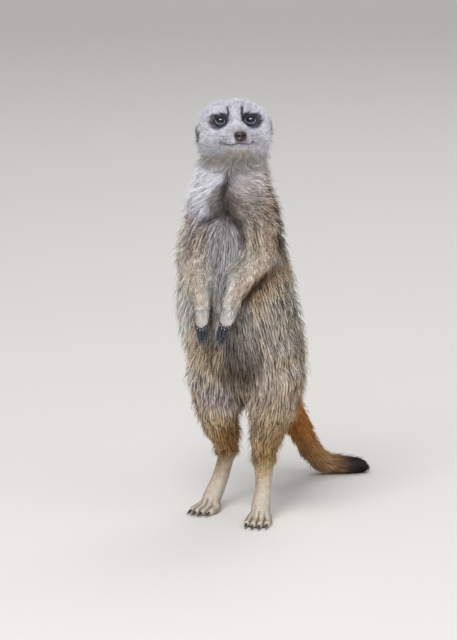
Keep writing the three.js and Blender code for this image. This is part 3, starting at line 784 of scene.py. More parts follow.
def bump(tree, shader, height, strength, distance):
    made = node(tree, "ShaderNodeBump", Strength=strength, Distance=distance)
    tree.links.new(height, made.inputs["Height"])
    tree.links.new(made.outputs["Normal"], shader.inputs["Normal"])


def gloss(shader, roughness, specular, coat=0.0, coat_roughness=0.03):
    shader.inputs["Roughness"].default_value = roughness
    shader.inputs["Specular IOR Level"].default_value = specular
    shader.inputs["Coat Weight"].default_value = coat
    shader.inputs["Coat Roughness"].default_value = coat_roughness


def show_markings(tree, shader, grain, low, high):
    """Colours a piece with the markings painted on it, multiplied by a grey that follows a grain."""
    mark = node(tree, "ShaderNodeAttribute", attribute_name="markings")
    spread = node(tree, "ShaderNodeMapRange", From_Min=0.3, From_Max=0.7, To_Min=low, To_Max=high)
    tree.links.new(grain, spread.inputs["Value"])
    mix = node(tree, "ShaderNodeMix", data_type="RGBA", blend_type="MULTIPLY", Factor=1.0)
    tree.links.new(mark.outputs["Color"], mix.inputs["A"])
    tree.links.new(spread.outputs["Result"], mix.inputs["B"])
    tree.links.new(mix.outputs["Result"], shader.inputs["Base Color"])


def hide_finish():
    material, tree, shader = new_material("meerkat_hide")
    hair = noise(tree, 900, 3, (1, 1, 0.25))
    show_markings(tree, shader, hair, 0.62, 1.2)
    bump(tree, shader, hair, 0.5, 0.0004)
    gloss(shader, 0.75, 0.2)
    return material


def coat_finish(name, roughness):
    material, tree, shader = new_material(name)
    show_markings(tree, shader, noise(tree, 260, 2), 0.85, 1.12)
    bump(tree, shader, noise(tree, 2600, 2, (1, 1, 0.2)), 0.25, 0.0001)
    gloss(shader, roughness, 0.14)
    return material


def eye_finish():
    material, tree, shader = new_material("dark_eye")
    show_markings(tree, shader, noise(tree, 3200, 2), 0.7, 1.3)
    gloss(shader, 0.2, 0.1, 0.6, 0.06)
    return material


def claw_finish(name, deep, pale):
    material, tree, shader = new_material(name)
    worn = noise(tree, 420, 3, (1, 1, 0.3))
    ramp = node(tree, "ShaderNodeValToRGB")
    steps = ramp.color_ramp.elements
    steps[0].position, steps[0].color = 0.38, (*deep, 1)
    steps[1].position, steps[1].color = 0.72, (*pale, 1)
    tree.links.new(worn, ramp.inputs["Fac"])
    tree.links.new(ramp.outputs["Color"], shader.inputs["Base Color"])
    bump(tree, shader, worn, 0.15, 0.0002)
    gloss(shader, 0.22, 0.4, 0.8, 0.08)
    return material


def nose_finish():
    material, tree, shader = new_material("nose_leather")
    show_markings(tree, shader, noise(tree, 700), 0.75, 1.2)
    pebble = node(tree, "ShaderNodeTexVoronoi", Scale=1900.0)
    place = node(tree, "ShaderNodeTexCoord")
    tree.links.new(place.outputs["Object"], pebble.inputs["Vector"])
    bump(tree, shader, pebble.outputs["Distance"], 0.35, 0.0002)
    gloss(shader, 0.4, 0.25, 0.2, 0.25)
    return material


# ---------------------------------------------------------------- hide


def neighbours_mean(values, edges, degree):
    a, b = edges.T
    count = len(values)
    total = np.empty_like(values)
    for k in range(values.shape[1]):
        column = values[:, k]
        total[:, k] = np.bincount(a, column[b], count) + np.bincount(b, column[a], count)
    return total / degree[:, None]


def relaxed(values, edges, passes):
    """Values after each has moved towards its neighbours' mean; passes may differ from point to point."""
    values = np.asarray(values, float)
    flat = values.ndim == 1
    values = values.reshape(len(values), -1).copy()
    degree = np.maximum(np.bincount(edges.ravel(), minlength=len(values)), 1)
    passes = np.broadcast_to(passes, len(values))
    for i in range(int(math.ceil(passes.max()))):
        step = 0.5 * np.clip(passes - i, 0, 1)[:, None]
        values += step * (neighbours_mean(values, edges, degree) - values)
    return values[:, 0] if flat else values


def flesh_solids():
    """Points in mm, triangles and part of each triangle for all the solids of flesh, slightly swollen."""
    points, faces, owner, start = [], [], [], 0
    for name in [*PARTS, "eye_left", "eye_right"]:
        bm = merged_solid(name)
        bm.normal_update()
        points.append(to_mm([v.co + v.normal * (SWELL / 1000) for v in bm.verts]))
        faces.append(np.array([[v.index + start for v in f.verts] for f in bm.faces]))
        owner.append(np.full(len(bm.faces), PARTS.index(name if name in PARTS else "head")))
        start += len(bm.verts)
        bm.free()
    return np.concatenate(points), np.concatenate(faces), np.concatenate(owner)


def front_of_face(middle):
    a, f, u = in_head(middle).T
    return (f > 2) & (np.abs(a) < 24) & (u > -20) & (u < 16) & (middle[:, 2] > CHIN)


def eyes_and_lips(middle):
    q = in_head(middle)
    eyes = np.any([np.linalg.norm(q - eye_middle(side), axis=1) < 8 for side in (-1, 1)], 0) & (q[:, 1] > 12)
    return eyes | (near_line(q[:, [0, 2]], MOUTH)[0] < 1.6) & (q[:, 1] > 16)


def refine(obj, region):
    """Cuts in four the faces whose middles lie in a region."""
    pick(obj)
    mesh = obj.data
    chosen = region(to_mm(read(mesh.polygons, "center", 3)))
    mesh.polygons.foreach_set("select", chosen)
    verts = np.zeros(len(mesh.vertices), bool)
    starts, totals = (read(mesh.polygons, name, 1, np.int32) for name in ("loop_start", "loop_total"))
    loops = read(mesh.loops, "vertex_index", 1, np.int32)
    for k in range(4):
        verts[loops[starts[chosen & (totals > k)] + k]] = True
    mesh.vertices.foreach_set("select", verts)
    mesh.edges.foreach_set("select", verts[edges_of(mesh)].all(1))
    bpy.ops.object.mode_set(mode="EDIT")
    bpy.ops.mesh.select_mode(type="FACE")
    bpy.ops.mesh.subdivide(number_cuts=1, smoothness=0)
    bpy.ops.object.mode_set(mode="OBJECT")


def hump(x, middle, width):
    return np.exp(-(((x - middle) / width) ** 2))


def carve_face(p):
    """Draws lids round the eyes and the line of the mouth into the face. Takes and returns points in mm."""
    q = in_head(p)
    for side in (-1, 1):
        x, depth, y = eye_place(q, side)
        ring = eye_ring(x, y)
        ball = np.sqrt(np.maximum(EYE_RADIUS**2 - x**2 - y**2, 1.0))
        ridge = 0.5 + 0.35 * hump(ring, 3.4, 0.5) + 0.55 * soft(y, 0.8, 3.0) * hump(ring, 4.7, 1.0)
        crease = 0.5 * hump(ring, 6.1, 0.6) * soft(y, 0, 3)
        lid = np.where(ring < 2.9, ball - 1.6, ball + ridge - crease)
        share = (1 - soft(ring, 5.4, 8.4)) * soft(depth, -4.5, -2.0)
        goal = depth + (lid - depth) * share
        q = q + (goal - depth)[:, None] * eye_axes(side)[1]
    a, f, u = q.T
    bumps = 1.5 * hump(a, 5.4, 4.2) + 1.0 * hump(a, -8.6, 4.2) - 0.9 * hump(a, -2, 2.0)
    temple = 1.8 * soft(a, 12, 21) * hump(u, 5, 6) * soft(f, -16, -6)
    q = q + np.stack([temple, 0 * a, bumps * soft(u, 10, 15) * soft(f, -14, -4)], 1)
    lip, _ = near_line(q[:, [0, 2]], MOUTH)
    mouth = (1 - soft(lip, 0.2, 0.9)) * soft(q[:, 1], 14, 20)
    q = q - mouth[:, None] * 0.6 * unit(q - np.array([0, 8, -11]))
    return from_head(q)


def coat_lie(p, normal, code):
    """The way that the hair runs at each point of the hide."""
    flow = np.tile((0.0, 0.0, -1.0), (len(p), 1))
    head = is_part(code, "head")
    behind = soft(-in_head(p)[head, 1], -6, 16)
    flow[head] = unit(p[head] - from_head((0, 33, -6))) + behind[:, None] * np.array([0, 0.2, -1.4])
    for side, s in (("left", 1), ("right", -1)):
        ear = is_part(code, f"ear_{side}")
        flow[ear] = unit(p[ear] - from_head((s * 22, -1, -9)))
        arm = is_part(code, *arm_parts(side))
        way, t, _ = along(p[arm], ARM[side], 5)
        tuft = soft(t, 0.12, 0.3) * (1 - soft(t, 0.5, 0.72))
        flow[arm] = way + tuft[:, None] * np.array([s * 0.35, 0.25, -0.35])
        leg = is_part(code, *leg_parts(side))
        flow[leg] = along(p[leg], LEG[side], 5)[0]
    arm = is_part(code, *arm_parts("left"))
    hang = soft(-under_arm(p[arm]), -2, 2) * soft(p[arm][:, 0], -6, -2)
    flow[arm] = blend(flow[arm], (0.1, 0.05, -1.0), hang)
    left, _, angle = trunk_place(p)
    body = is_part(code, "neck", "chest", "belly")
    forward = soft(np.cos(angle), -0.1, 0.5) * soft(p[:, 2], 208, 240)
    outward = np.tanh(beside_parting(p) / 2.0)
    sideways = np.stack([outward * 1.5, 0.25 * np.abs(outward), 0.25 + 0.25 * outward], 1)
    flow[body] += (sideways * forward[:, None])[body]
    belly = soft(np.cos(angle), 0.1, 0.6) * (1 - soft(p[:, 2], 205, 230))
    flow[body, 0] += (0.25 * np.tanh(left / 12) * belly)[body]
    tail = is_part(code, "tail")
    flow[tail] = along(p[tail], TAIL, 8)[0]
    return unit(flow - dot(flow, normal) * normal)


def sink_hide(mesh, code):
    """Smooths the joined solids and draws their surface in by the depth of the coat."""
    p, edges = points_of(mesh), edges_of(mesh)
    passes = relaxed(COAT_TABLE[code, 0], edges, 12)
    p = relaxed(p, edges, passes)
    move_points(mesh, p)
    depth = COAT_TABLE[code, 1].copy()
    head = is_part(code, "head")
    depth[head] *= 1 - 0.55 * soft(in_head(p)[head, 1], 6, 26)
    low = is_part(code, "shank", "hind_foot")
    depth[low] *= 0.35 + 0.65 * soft(p[low, 2], 12, 55)
    depth = relaxed(depth, edges, 10)
    move_points(mesh, relaxed(p - normals_of(mesh) * (depth + SKIN_GAP)[:, None], edges, 2))


def part_toes(mesh, p, code):
    """Sinks the gaps between the toes of the hind feet, except under the soles."""
    normal = normals_of(mesh)
    for side in ("left", "right"):
        foot = is_part(code, "hind_foot_" + side)
        deep = 1.3 * toe_gap(p[foot], side) * soft(normal[foot, 2], -0.3, 0.3)
        p[foot] -= normal[foot] * deep[:, None]


hide = {}


def make_hide(settings):
    points, faces, owner = flesh_solids()
    obj = mesh_object("hide", to_frame(points), faces)
    apply_modifier(obj, "REMESH", mode="VOXEL", voxel_size=settings.grain / 1000)
    mesh = obj.data
    solid = BVHTree.FromPolygons(points.tolist(), faces.tolist())

    def parts_at(p):
        return owner[[solid.find_nearest(x)[2] for x in p.tolist()]]

    sink_hide(mesh, parts_at(points_of(mesh)))
    refine(obj, front_of_face)
    refine(obj, eyes_and_lips)
    p, edges = points_of(mesh), edges_of(mesh)
    p = relaxed(p, edges, np.where(in_head(p)[:, 1] > 4, 3.0, 0.0) * (p[:, 2] > CHIN))
    p = carve_face(p)
    code = parts_at(p)
    part_toes(mesh, p, code)
    move_points(mesh, p)
    normal = normals_of(mesh)

    colour, contrast = markings(p, code)
    head, before = is_part(code, "head"), in_head(p)[:, 1]
    border = np.zeros(len(p))
    border[edges[code[edges[:, 0]] != code[edges[:, 1]]].ravel()] = 1
    reach = np.minimum(relaxed(border, edges, 14) * 12, 1)
    colour = relaxed(colour, edges, reach * 7 * (1 - soft(before, 4, 10) * head))
    flow = coat_lie(p, normal, code)
    for _ in range(5):
        flow = relaxed(flow, edges, 4)
        flow = unit(flow - dot(flow, normal) * normal)

    bare = np.maximum(soft(before, 0, 14) * head, is_part(code, "forepaw", "hind_foot") * 1.0)
    # under the coat the hide is painted far darker than where it is bare: dark skin, with painted shade under
    # the hair
    paint_points(obj, colour * (0.26 + 0.54 * relaxed(bare, edges, 6))[:, None])
    smooth_faces(mesh)
    finish_piece(obj, "body_fur", hide_finish(), *PARTS)

    tris = triangles_of(mesh)
    hide.update(
        p=p, normal=normal, code=code, colour=colour, contrast=contrast, flow=flow, edges=edges, tris=tris,
        tree=BVHTree.FromPolygons(p.tolist(), tris.tolist()),
    )


def nearest_on_hide(points):
    """For each point, the nearest place on the hide, the way out from it there, and its triangle."""
    found = [hide["tree"].find_nearest(x) for x in points.tolist()]
    return tuple(np.array([f[k] for f in found]) for k in range(3))


# ---------------------------------------------------------------- coat


def coat_fields():
    """Length, depth, width and number of tufts at each point of the hide, in mm."""
    p, code, normal, edges = hide["p"], hide["code"], hide["normal"], hide["edges"]
    x, _, z = p.T
    q = in_head(p)
    a, f, u = q.T
    turn = np.cos(trunk_place(p)[2])
    across = beside_parting(p)
    rightward = -normal[:, 0]
    field = dict(zip(("depth", "length", "width", "number"), COAT_TABLE[code, 1:].T.copy()))

    def change(where, **shares):
        for name, share in shares.items():
            field[name] *= 1 + share * where

    head = is_part(code, "head")
    change(soft(f, 2, 22) * head, length=-0.52, depth=-0.55, width=-0.05, number=0.55)
    cheek = head * soft(np.abs(a), 15, 22) * soft(-u, -2, 8)
    change(cheek, length=0.9, depth=1.1)
    knuckles = is_part(code, "forepaw") * (1 - soft(z, 128, 135))
    change(knuckles, length=0.7, depth=0.6)
    low = is_part(code, "shank", "hind_foot")
    field["length"] *= 0.6 + 0.4 * np.where(low, soft(z, 10, 60), 1)
    fringe = is_part(code, "upper_arm_right", "forearm_right") * soft(z, 168, 184) * soft(rightward, 0.0, 0.7)
    change(fringe, length=0.9, depth=1.3)
    ruffled = is_part(code, "neck", "chest") * soft(z, 222, 236) * soft(np.abs(across), 6, 14)
    change(ruffled, depth=1.0)
    change(ruffled * soft(-across, 6, 12), length=0.35)
    change(ruffled * soft(across, 6, 12), depth=-0.3)
    middle = is_part(code, "chest") * soft(z, 216, 228) * soft(turn, 0.2, 0.6)
    change(middle, length=-0.36, width=-0.25, number=0.6)
    loose = is_part(code, "belly", "chest") * soft(rightward, 0.3, 0.9)
    loose = loose * soft(z, 138, 152) * (1 - soft(z, 192, 206))
    change(loose, depth=1.05, length=0.35)
    calf = is_part(code, "shank") * soft(normal[:, 1] + np.abs(rightward) * 0.6, 0.2, 0.8) * soft(z, 30, 44)
    change(calf, depth=0.7, length=0.3)
    hang = is_part(code, "upper_arm_left", "forearm_left") * soft(-under_arm(p), -2, 2) * soft(x, -6, -2)
    change(hang, length=1.0, width=0.3)
    rippled = np.maximum(is_part(code, "neck") * 1.0, middle)
    rippled = np.maximum(rippled, is_part(code, "upper_arm", "forearm") * (1 - hang))
    hide["rippled"] = relaxed(rippled, edges, 4)

    fields = np.stack([field[name] for name in ("length", "depth", "width", "number")], 1)
    fields = relaxed(fields, edges, 8)
    number = fields[:, 3]
    part, _ = near_line(p[:, [0, 2]], PARTING)
    number *= 1 - 0.75 * (part < 0.9) * (z > 244) * (turn > 0.2) * is_part(code, "neck", "chest", "head")
    for side in (-1, 1):
        out, deep, up = eye_place(q, side)
        number *= 1 - (eye_ring(out, up) < 3.9) * (deep > -3)
    number *= soft(np.linalg.norm((q - NOSE_PAD) / np.array([5.0, 6, 4.2]), axis=1), 0.95, 1.1)
    number *= 1 - ((near_line(q[:, [0, 2]], MOUTH)[0] < 0.25) & (f > 14))
    number *= 1 - ((z < SOLE) & (normal[:, 2] < -0.3))
    for side in ("left", "right"):
        number *= 1 - is_part(code, "hind_foot_" + side) * (toe_gap(p, side) > 0.5)
    return fields


def unwrap_corners(tris):
    """Places of the corners of chosen triangles of the hide on a flat unwrap of them."""
    used, index = np.unique(tris, return_inverse=True)
    patch = mesh_object("unwrap", to_frame(hide["p"][used]), index.reshape(-1, 3))
    pick(patch)
    bpy.ops.object.mode_set(mode="EDIT")
    bpy.ops.mesh.select_all(action="SELECT")
    bpy.ops.uv.smart_project(angle_limit=math.radians(70), island_margin=0.004)
    bpy.ops.object.mode_set(mode="OBJECT")
    places = read(patch.data.uv_layers.active.data, "uv", 2).reshape(-1, 3, 2)
    discard(patch)
    return places


def scatter(rng, tris, fields, settings, kind):
    """Random roots on triangles of the hide: the triangle of each, and the shares of its three corners."""
    a, b, c = (hide["p"][tris[:, k]] for k in range(3))
    area = np.linalg.norm(np.cross(b - a, c - a), axis=1) / 2
    hope = area * fields[tris, 3].mean(1) * settings.fullness
    hope *= min(1, MOST_TRIANGLES / len(kind["triangles"]) / hope.sum())
    own = np.repeat(np.arange(len(tris)), rng.poisson(hope))
    return own, rng.dirichlet((1, 1, 1), len(own))


def bend(rng, root, flow, length, rise):
    """Middles and tips of tufts that lean out from the hide and then lie along it."""
    place, way, face = nearest_on_hide(root + flow * (length * 0.5)[:, None])
    mid = place + way * (rise * 0.72)[:, None]
    turn = unit(hide["flow"][hide["tris"][face]].mean(1) + flow)
    turn = unit(turn - dot(turn, way) * way * 0.9)
    end = mid + turn * (length * 0.5)[:, None]
    place, way, _ = nearest_on_hide(end)
    laid = place + way * (rise * rng.uniform(0.85, 1.15, len(root)))[:, None]
    return mid, blend(end, laid, 0.72)


def tuft_mesh(name, kind, normal, width, middles, tones, spots):
    """Builds the tufts: a three-sided ring at each middle but the last, which is the tip."""
    first = unit(middles[-1 if kind is TUFTS["short"] else 1] - middles[0])
    side = unit(np.cross(normal, first))
    up = unit(np.cross(first, side))
    rows, paint = [], []
    for middle, girth, tone in zip(middles, kind["girths"], tones):
        w = (width * girth)[:, None]
        rows += [middle - side * w * 0.5, middle + side * w * 0.5, middle + up * w * 0.42]
        paint += [tone] * 3
    rows.append(middles[-1])
    paint.append(tones[-1])
    points, corners = np.stack(rows, 1).reshape(-1, 3), np.array(kind["triangles"])
    faces = (np.arange(len(normal))[:, None, None] * len(rows) + corners[None]).reshape(-1, 3)
    obj = mesh_object(name, to_frame(points), faces)
    paint_points(obj, np.clip(np.stack(paint, 1).reshape(-1, 3), 0, BRIGHTEST))

    rings = len(kind["girths"])
    across = np.append(np.tile([0.0, 1.0, 0.5], rings), 0.5)
    level = np.append(np.repeat(np.arange(rings) / rings, 3), 1.0)
    patch = np.stack([(across - 0.5) * BAKE_PATCH, (level - 0.5) * BAKE_PATCH], 1)
    layer = obj.data.uv_layers.new(name="OFBake")
    places = (spots[:, None, None, :] + patch[corners][None]).reshape(-1, 2)
    layer.data.foreach_set("uv", places.astype(np.float32).ravel())
    return obj, np.repeat(unit(normal * 0.5 + up * 0.5), len(rows), 0)


def grow(name, slot, parts, material, settings, fields, seed, chosen, kind):
    """Grows one piece of coat: pointed tufts rooted on the given parts of the hide."""
    rng = np.random.default_rng(seed)
    tris, p = hide["tris"], hide["p"]
    keep = is_part(hide["code"][tris[:, 0]], *parts)
    if chosen is not None:
        keep &= chosen(p[tris].mean(1))
    tris = tris[keep]
    own, share = scatter(rng, tris, fields, settings, kind)
    total, corners = len(own), tris[own]

    def at(values):
        return np.einsum("nk,nk...->n...", share, values[corners])

    root, normal, lie = at(p), unit(at(hide["normal"])), at(hide["flow"])
    colour, contrast, rippled = at(hide["colour"]), at(hide["contrast"]), at(hide["rippled"])
    length, depth, width, _ = at(fields).T
    across = np.cross(normal, lie)
    sway = ripple(root, 15, 21) * 0.20 + rng.normal(0, 0.11, total)
    flow = unit(lie * np.cos(sway)[:, None] + across * np.sin(sway)[:, None])
    in_rows = rippled > 0.5
    lock = settings.lock * kind["lock"]

    def strand(q):
        return strands(q, lie, across, lock * 2, lock * kind["long"], 41)

    # the dark gaps between locks, and the dark rows where rippled: the hairs' dark roots showing, with
    # painted shade down in the coat
    def darkness(q):
        gap = 1 - soft(np.abs(strand(q)), *kind["gap"])
        if in_rows.any():
            gap = np.where(in_rows, soft(-strands(q, across, lie, 2.1, 1.9, 43), -0.3, 0.9) * 0.9, gap)
        return gap * contrast

    lean = (np.abs(strand(root + across * 0.4)) - np.abs(strand(root - across * 0.4))) / 0.8
    chance = np.clip(0.5 + 0.5 * strands(root, lie, across, lock * 3, lock * 2, 42), 0, 1)
    dark = darkness(root) * np.where(in_rows, 0.5, 1)
    length = length * rng.uniform(0.7, 1.2, total) * (1 - 0.12 * dark)
    rise = depth * rng.uniform(0.55, 1.15, total) * (1.08 - 0.3 * dark)
    stray = rng.random(total) < STRAYS
    rise[stray] *= 2.0
    length[stray] *= 1.15
    rise = np.minimum(rise, TALLEST - 5 * rng.random(total))

    buried = root - normal * ROOT_DEPTH
    mid, tip = bend(rng, root, flow, length, rise)
    pull = rng.uniform(0.5, 0.95, total) * settings.clump * (1 - 0.75 * rippled)
    pull = pull * (1 - 0.7 * dark) * kind["gather"]
    gather = across * np.clip(lean * 0.6, -0.8, 0.8)[:, None]
    tip = tip + gather * pull[:, None]
    mid = mid + gather * (pull * 0.35)[:, None]
    for middle in (buried, mid, tip):
        middle[:, 2] = np.maximum(middle[:, 2], FLOOR_GAP)

    uneven = rng.normal(0, 0.14, total) + (chance - 0.5) * 0.45 * contrast + ripple(root, 5, 31) * 0.1
    shade = colour * np.exp(uneven)[:, None]
    # the root ring is darkened: the hairs' dark roots, with painted shade under the coat
    low = shade * (1 - 0.92 * contrast)[:, None]
    mid_dark, tip_dark = (darkness(q) for q in (mid, tip))
    deep = 0.96 - 0.16 * rippled
    body, end = (shade * (1.14 - deep * shadow)[:, None] for shadow in (mid_dark, tip_dark))
    end = end + (np.minimum(end * 2.15, BRIGHTEST) - end) * (contrast - tip_dark)[:, None]

    spots = np.einsum("nk,nkd->nd", share, unwrap_corners(tris)[own])
    inner, tone = ([mid], [body]) if kind is TUFTS["long"] else ([], [])
    obj, normals = tuft_mesh(name, kind, normal, width, [buried, *inner, tip], [low, *tone, end], spots)
    if settings.soften:
        obj.data.normals_split_custom_set_from_vertices(normals.tolist())
    finish_piece(obj, slot, material)


def on_front(middle):
    return np.cos(trunk_place(middle)[2]) > 0.15


def on_back(middle):
    return ~on_front(middle)


def make_coat(settings):
    fields = coat_fields()
    finishes = {"long": coat_finish("long_coat", 0.62), "short": coat_finish("short_coat", 0.7)}
    for name, slot, kind, seed, chosen, *parts in (
        ("head", "face_fur", "short", 11, None, "head", "ear"),
        ("neck", "body_fur", "long", 12, None, "neck"),
        ("breast", "body_fur", "long", 13, None, "chest"),
        ("belly", "body_fur", "long", 21, on_front, "belly"),
        ("back", "body_fur", "long", 14, on_back, "belly"),
        ("arm_left", "leg_fur", "long", 15, None, "upper_arm_left", "forearm_left"),
        ("arm_right", "leg_fur", "long", 16, None, "upper_arm_right", "forearm_right"),
        ("leg_left", "leg_fur", "long", 17, None, "thigh_left", "shank_left"),
        ("leg_right", "leg_fur", "long", 18, None, "thigh_right", "shank_right"),
        ("paws", "leg_fur", "short", 19, None, "forepaw", "hind_foot"),
        ("tail", "tail_fur", "long", 20, None, "tail"),
    ):
        grow("coat_" + name, slot, parts, finishes[kind], settings, fields, seed, chosen, TUFTS[kind])


# ---------------------------------------------------------------- eyes, nose, claws, whiskers


def make_eyes():
    finish = eye_finish()
    for side, name in ((1, "left"), (-1, "right")):
        centre = from_head(eye_middle(side))
        deselect()
        bpy.ops.mesh.primitive_uv_sphere_add(
            segments=96, ring_count=64, radius=EYE_RADIUS / 1000, location=to_frame(centre)
        )
        ball = bpy.context.object
        ball.name = ball.data.name = "eyeball_" + name
        bpy.ops.object.transform_apply(location=True, rotation=True, scale=True)
        p = points_of(ball.data)
        x, depth, y = eye_place(in_head(p), side)
        away = np.hypot(x, y) + 9 * (depth < 0)
        # the iris is near black; its lower part is painted lighter and bluer, a painted reflection
        iris_and_reflection = blend(all_of((0.006, 0.006, 0.010), len(p)), (0.050, 0.062, 0.105), soft(-y, 0.6, 2.2))
        colour = blend(all_of((0.002, 0.002, 0.004), len(p)), iris_and_reflection, soft(away, 1.45, 1.75))
        colour = blend(colour, (0.006, 0.007, 0.012), soft(away, 2.35, 2.8))
        paint_points(ball, colour)
        move_points(ball.data, p + unit(p - centre) * (0.32 * np.exp(-((away / 2.6) ** 2)))[:, None])
        bpy.ops.object.shade_smooth()
        finish_piece(ball, "eyes", finish, "eye_" + name)


def carve_nostrils(q, middle):
    """Sinks the nostrils and the groove under them into the nose; returns each point's share of both."""
    pits = np.zeros(len(q))
    for side in (-1, 1):
        x = (q[:, 0] - (middle[0] + side * 2.05)) / 1.35
        u = (q[:, 2] - (middle[2] - 0.1) - 0.3 + 0.2 * np.abs(q[:, 0] - middle[0])) / 1.05
        pit = np.exp(-(x**2 + u**2) * 1.3) * (q[:, 1] > middle[1] - 1)
        q[:, 1] -= pit * 1.6
        pits = np.maximum(pits, pit)
    groove = hump(q[:, 0], middle[0], 0.35) * soft(middle[2] - q[:, 2], -0.5, 0.8) * (q[:, 1] > middle[1])
    q[:, 1] -= groove * 0.55
    return pits, groove


def make_nose():
    deselect()
    bm = merged_solid("nose")
    pad = place_object("nose_pad", bpy.data.meshes.new("nose_pad"))
    bm.to_mesh(pad.data)
    bm.free()
    apply_modifier(pad, "REMESH", mode="VOXEL", voxel_size=NOSE_GRAIN)
    mesh = pad.data
    q = in_head(relaxed(points_of(mesh), edges_of(mesh), 22))
    middle = in_head(to_mm(np.array(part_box("nose"))).mean(0)[None])[0]
    pits, groove = carve_nostrils(q, middle)
    a, u = q[:, 0] - middle[0], q[:, 2] - middle[2]
    colour = blend(all_of((0.022, 0.012, 0.014), len(q)), (0.055, 0.018, 0.016), soft(-u, 0.2, 2.2))
    # painted highlight: the top of the nose pad is lighter
    colour = blend(colour, (0.12, 0.09, 0.085), soft(u, 1.8, 3.2) * 0.8)
    # painted highlight, pink, low on the pad beside the middle
    pink_highlight = 1 - soft(np.hypot((a + 0.9) / 1.5, (u + 1.6) / 1.0), 0.3, 0.9)
    colour = blend(colour, (0.36, 0.20, 0.18), pink_highlight * 0.8)
    # painted shade: the nostrils near black and the groove under them darkened
    colour = blend(colour, (0.006, 0.004, 0.006), np.clip(pits * 2.2 + groove * 0.4, 0, 1))
    paint_points(pad, colour)
    smooth_faces(mesh)
    move_points(mesh, from_head(q))
    finish_piece(pad, "nose_leather", nose_finish(), "nose")


CLAW_STEPS = 7
CLAW_POINT = 0.05  # girth of a claw's tip, against 1 at its widest


def claw_girth(t):
    return (0.8 + 0.2 * math.sin(math.pi * min(t * 1.6, 1))) * (1 - t**1.3) ** 0.85


def one_claw(length, radius, hook):
    """Points in mm and faces of a claw from its root at the origin down -Z, hooking towards -Y."""
    deselect()
    bpy.ops.mesh.primitive_cylinder_add(
        vertices=14, radius=radius / 1000, depth=length / 5000, location=(0, 0, -length / 10000)
    )
    claw = bpy.context.object
    bpy.ops.object.transform_apply(location=True)
    bpy.ops.object.mode_set(mode="EDIT")
    bpy.ops.mesh.select_mode(type="FACE")
    for i in range(CLAW_STEPS):
        bpy.ops.mesh.select_all(action="DESELECT")
        bm = bmesh.from_edit_mesh(claw.data)
        bm.faces.ensure_lookup_table()
        low = min(bm.faces, key=lambda f: f.calc_center_median().z)
        low.select = True
        centre = low.calc_center_median()
        bmesh.update_edit_mesh(claw.data)
        t = (i + 1) / CLAW_STEPS
        drop = length * 0.8 / CLAW_STEPS / 1000
        out = hook * 2 * t / CLAW_STEPS / 1000
        bpy.ops.mesh.extrude_region_move(TRANSFORM_OT_translate={"value": (0, -out, -drop)})
        girth = claw_girth(t) if i < CLAW_STEPS - 1 else CLAW_POINT
        size = max(girth / claw_girth(t - 1 / CLAW_STEPS), CLAW_POINT)
        bpy.ops.transform.resize(
            value=(size, size, 1), center_override=(centre.x, centre.y - out, centre.z - drop)
        )
    bpy.ops.object.mode_set(mode="OBJECT")
    apply_modifier(claw, "SUBSURF", levels=1, render_levels=1)
    points = read(claw.data.vertices, "co", 3) * 1000
    faces = [tuple(f.vertices) for f in claw.data.polygons]
    discard(claw)
    return points, faces


def fit_claw(name, joint, hook, towards, girth):
    """Models a claw and stands it in the place of its solid, pointing away from a joint of the limb."""
    solid = to_mm([v.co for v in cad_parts[name].data.vertices])
    middle = solid.mean(0)
    axis = np.linalg.svd(solid - middle, full_matrices=False)[2][0]
    axis *= np.sign(axis @ (middle - np.array(joint, float)))
    reach = (solid - middle) @ axis
    thick = np.linalg.norm(solid - middle - np.outer(reach, axis), axis=1)
    points, faces = one_claw(reach.max() - reach.min(), thick.max() * girth, hook)
    hooked = unit(towards - (towards @ axis) * axis)
    turn = np.stack([np.cross(-hooked, -axis), -hooked, -axis])
    return points @ turn + middle + axis * reach.min(), faces


def make_claws():
    dark = claw_finish("fore_claw_horn", (0.003, 0.005, 0.014), (0.020, 0.030, 0.060))
    brown = claw_finish("hind_claw_horn", (0.022, 0.018, 0.018), (0.075, 0.06, 0.05))
    for limb, joints, joint, hook, towards, girth, finish in (
        ("fore", ARM, -2, 1.5, np.array([-0.35, -0.94, 0.0]), 0.70, dark),
        ("hind", LEG, -3, 0.8, np.array([0, 0, 1.0]), 0.72, brown),
    ):
        for side in ("left", "right"):
            points, faces, start = [], [], 0
            names = [f"claw_{limb}_{side}_{k}" for k in range(1, 5)]
            for name in names:
                claw, quads = fit_claw(name, joints[side][joint], hook, towards, girth)
                points.append(claw)
                faces += [tuple(v + start for v in f) for f in quads]
                start += len(claw)
            deselect()
            mesh = bpy.data.meshes.new(f"claws_{limb}_{side}")
            mesh.from_pydata(to_frame(np.concatenate(points)).tolist(), [], faces)
            mesh.update()
            obj = place_object(mesh.name, mesh)
            pick(obj)
            bpy.ops.object.mode_set(mode="EDIT")
            bpy.ops.mesh.select_all(action="SELECT")
            bpy.ops.mesh.normals_make_consistent(inside=False)
            bpy.ops.object.mode_set(mode="OBJECT")
            bpy.ops.object.shade_smooth()
            finish_piece(obj, "claws", finish, *names)


WHISKER_STEPS = 7


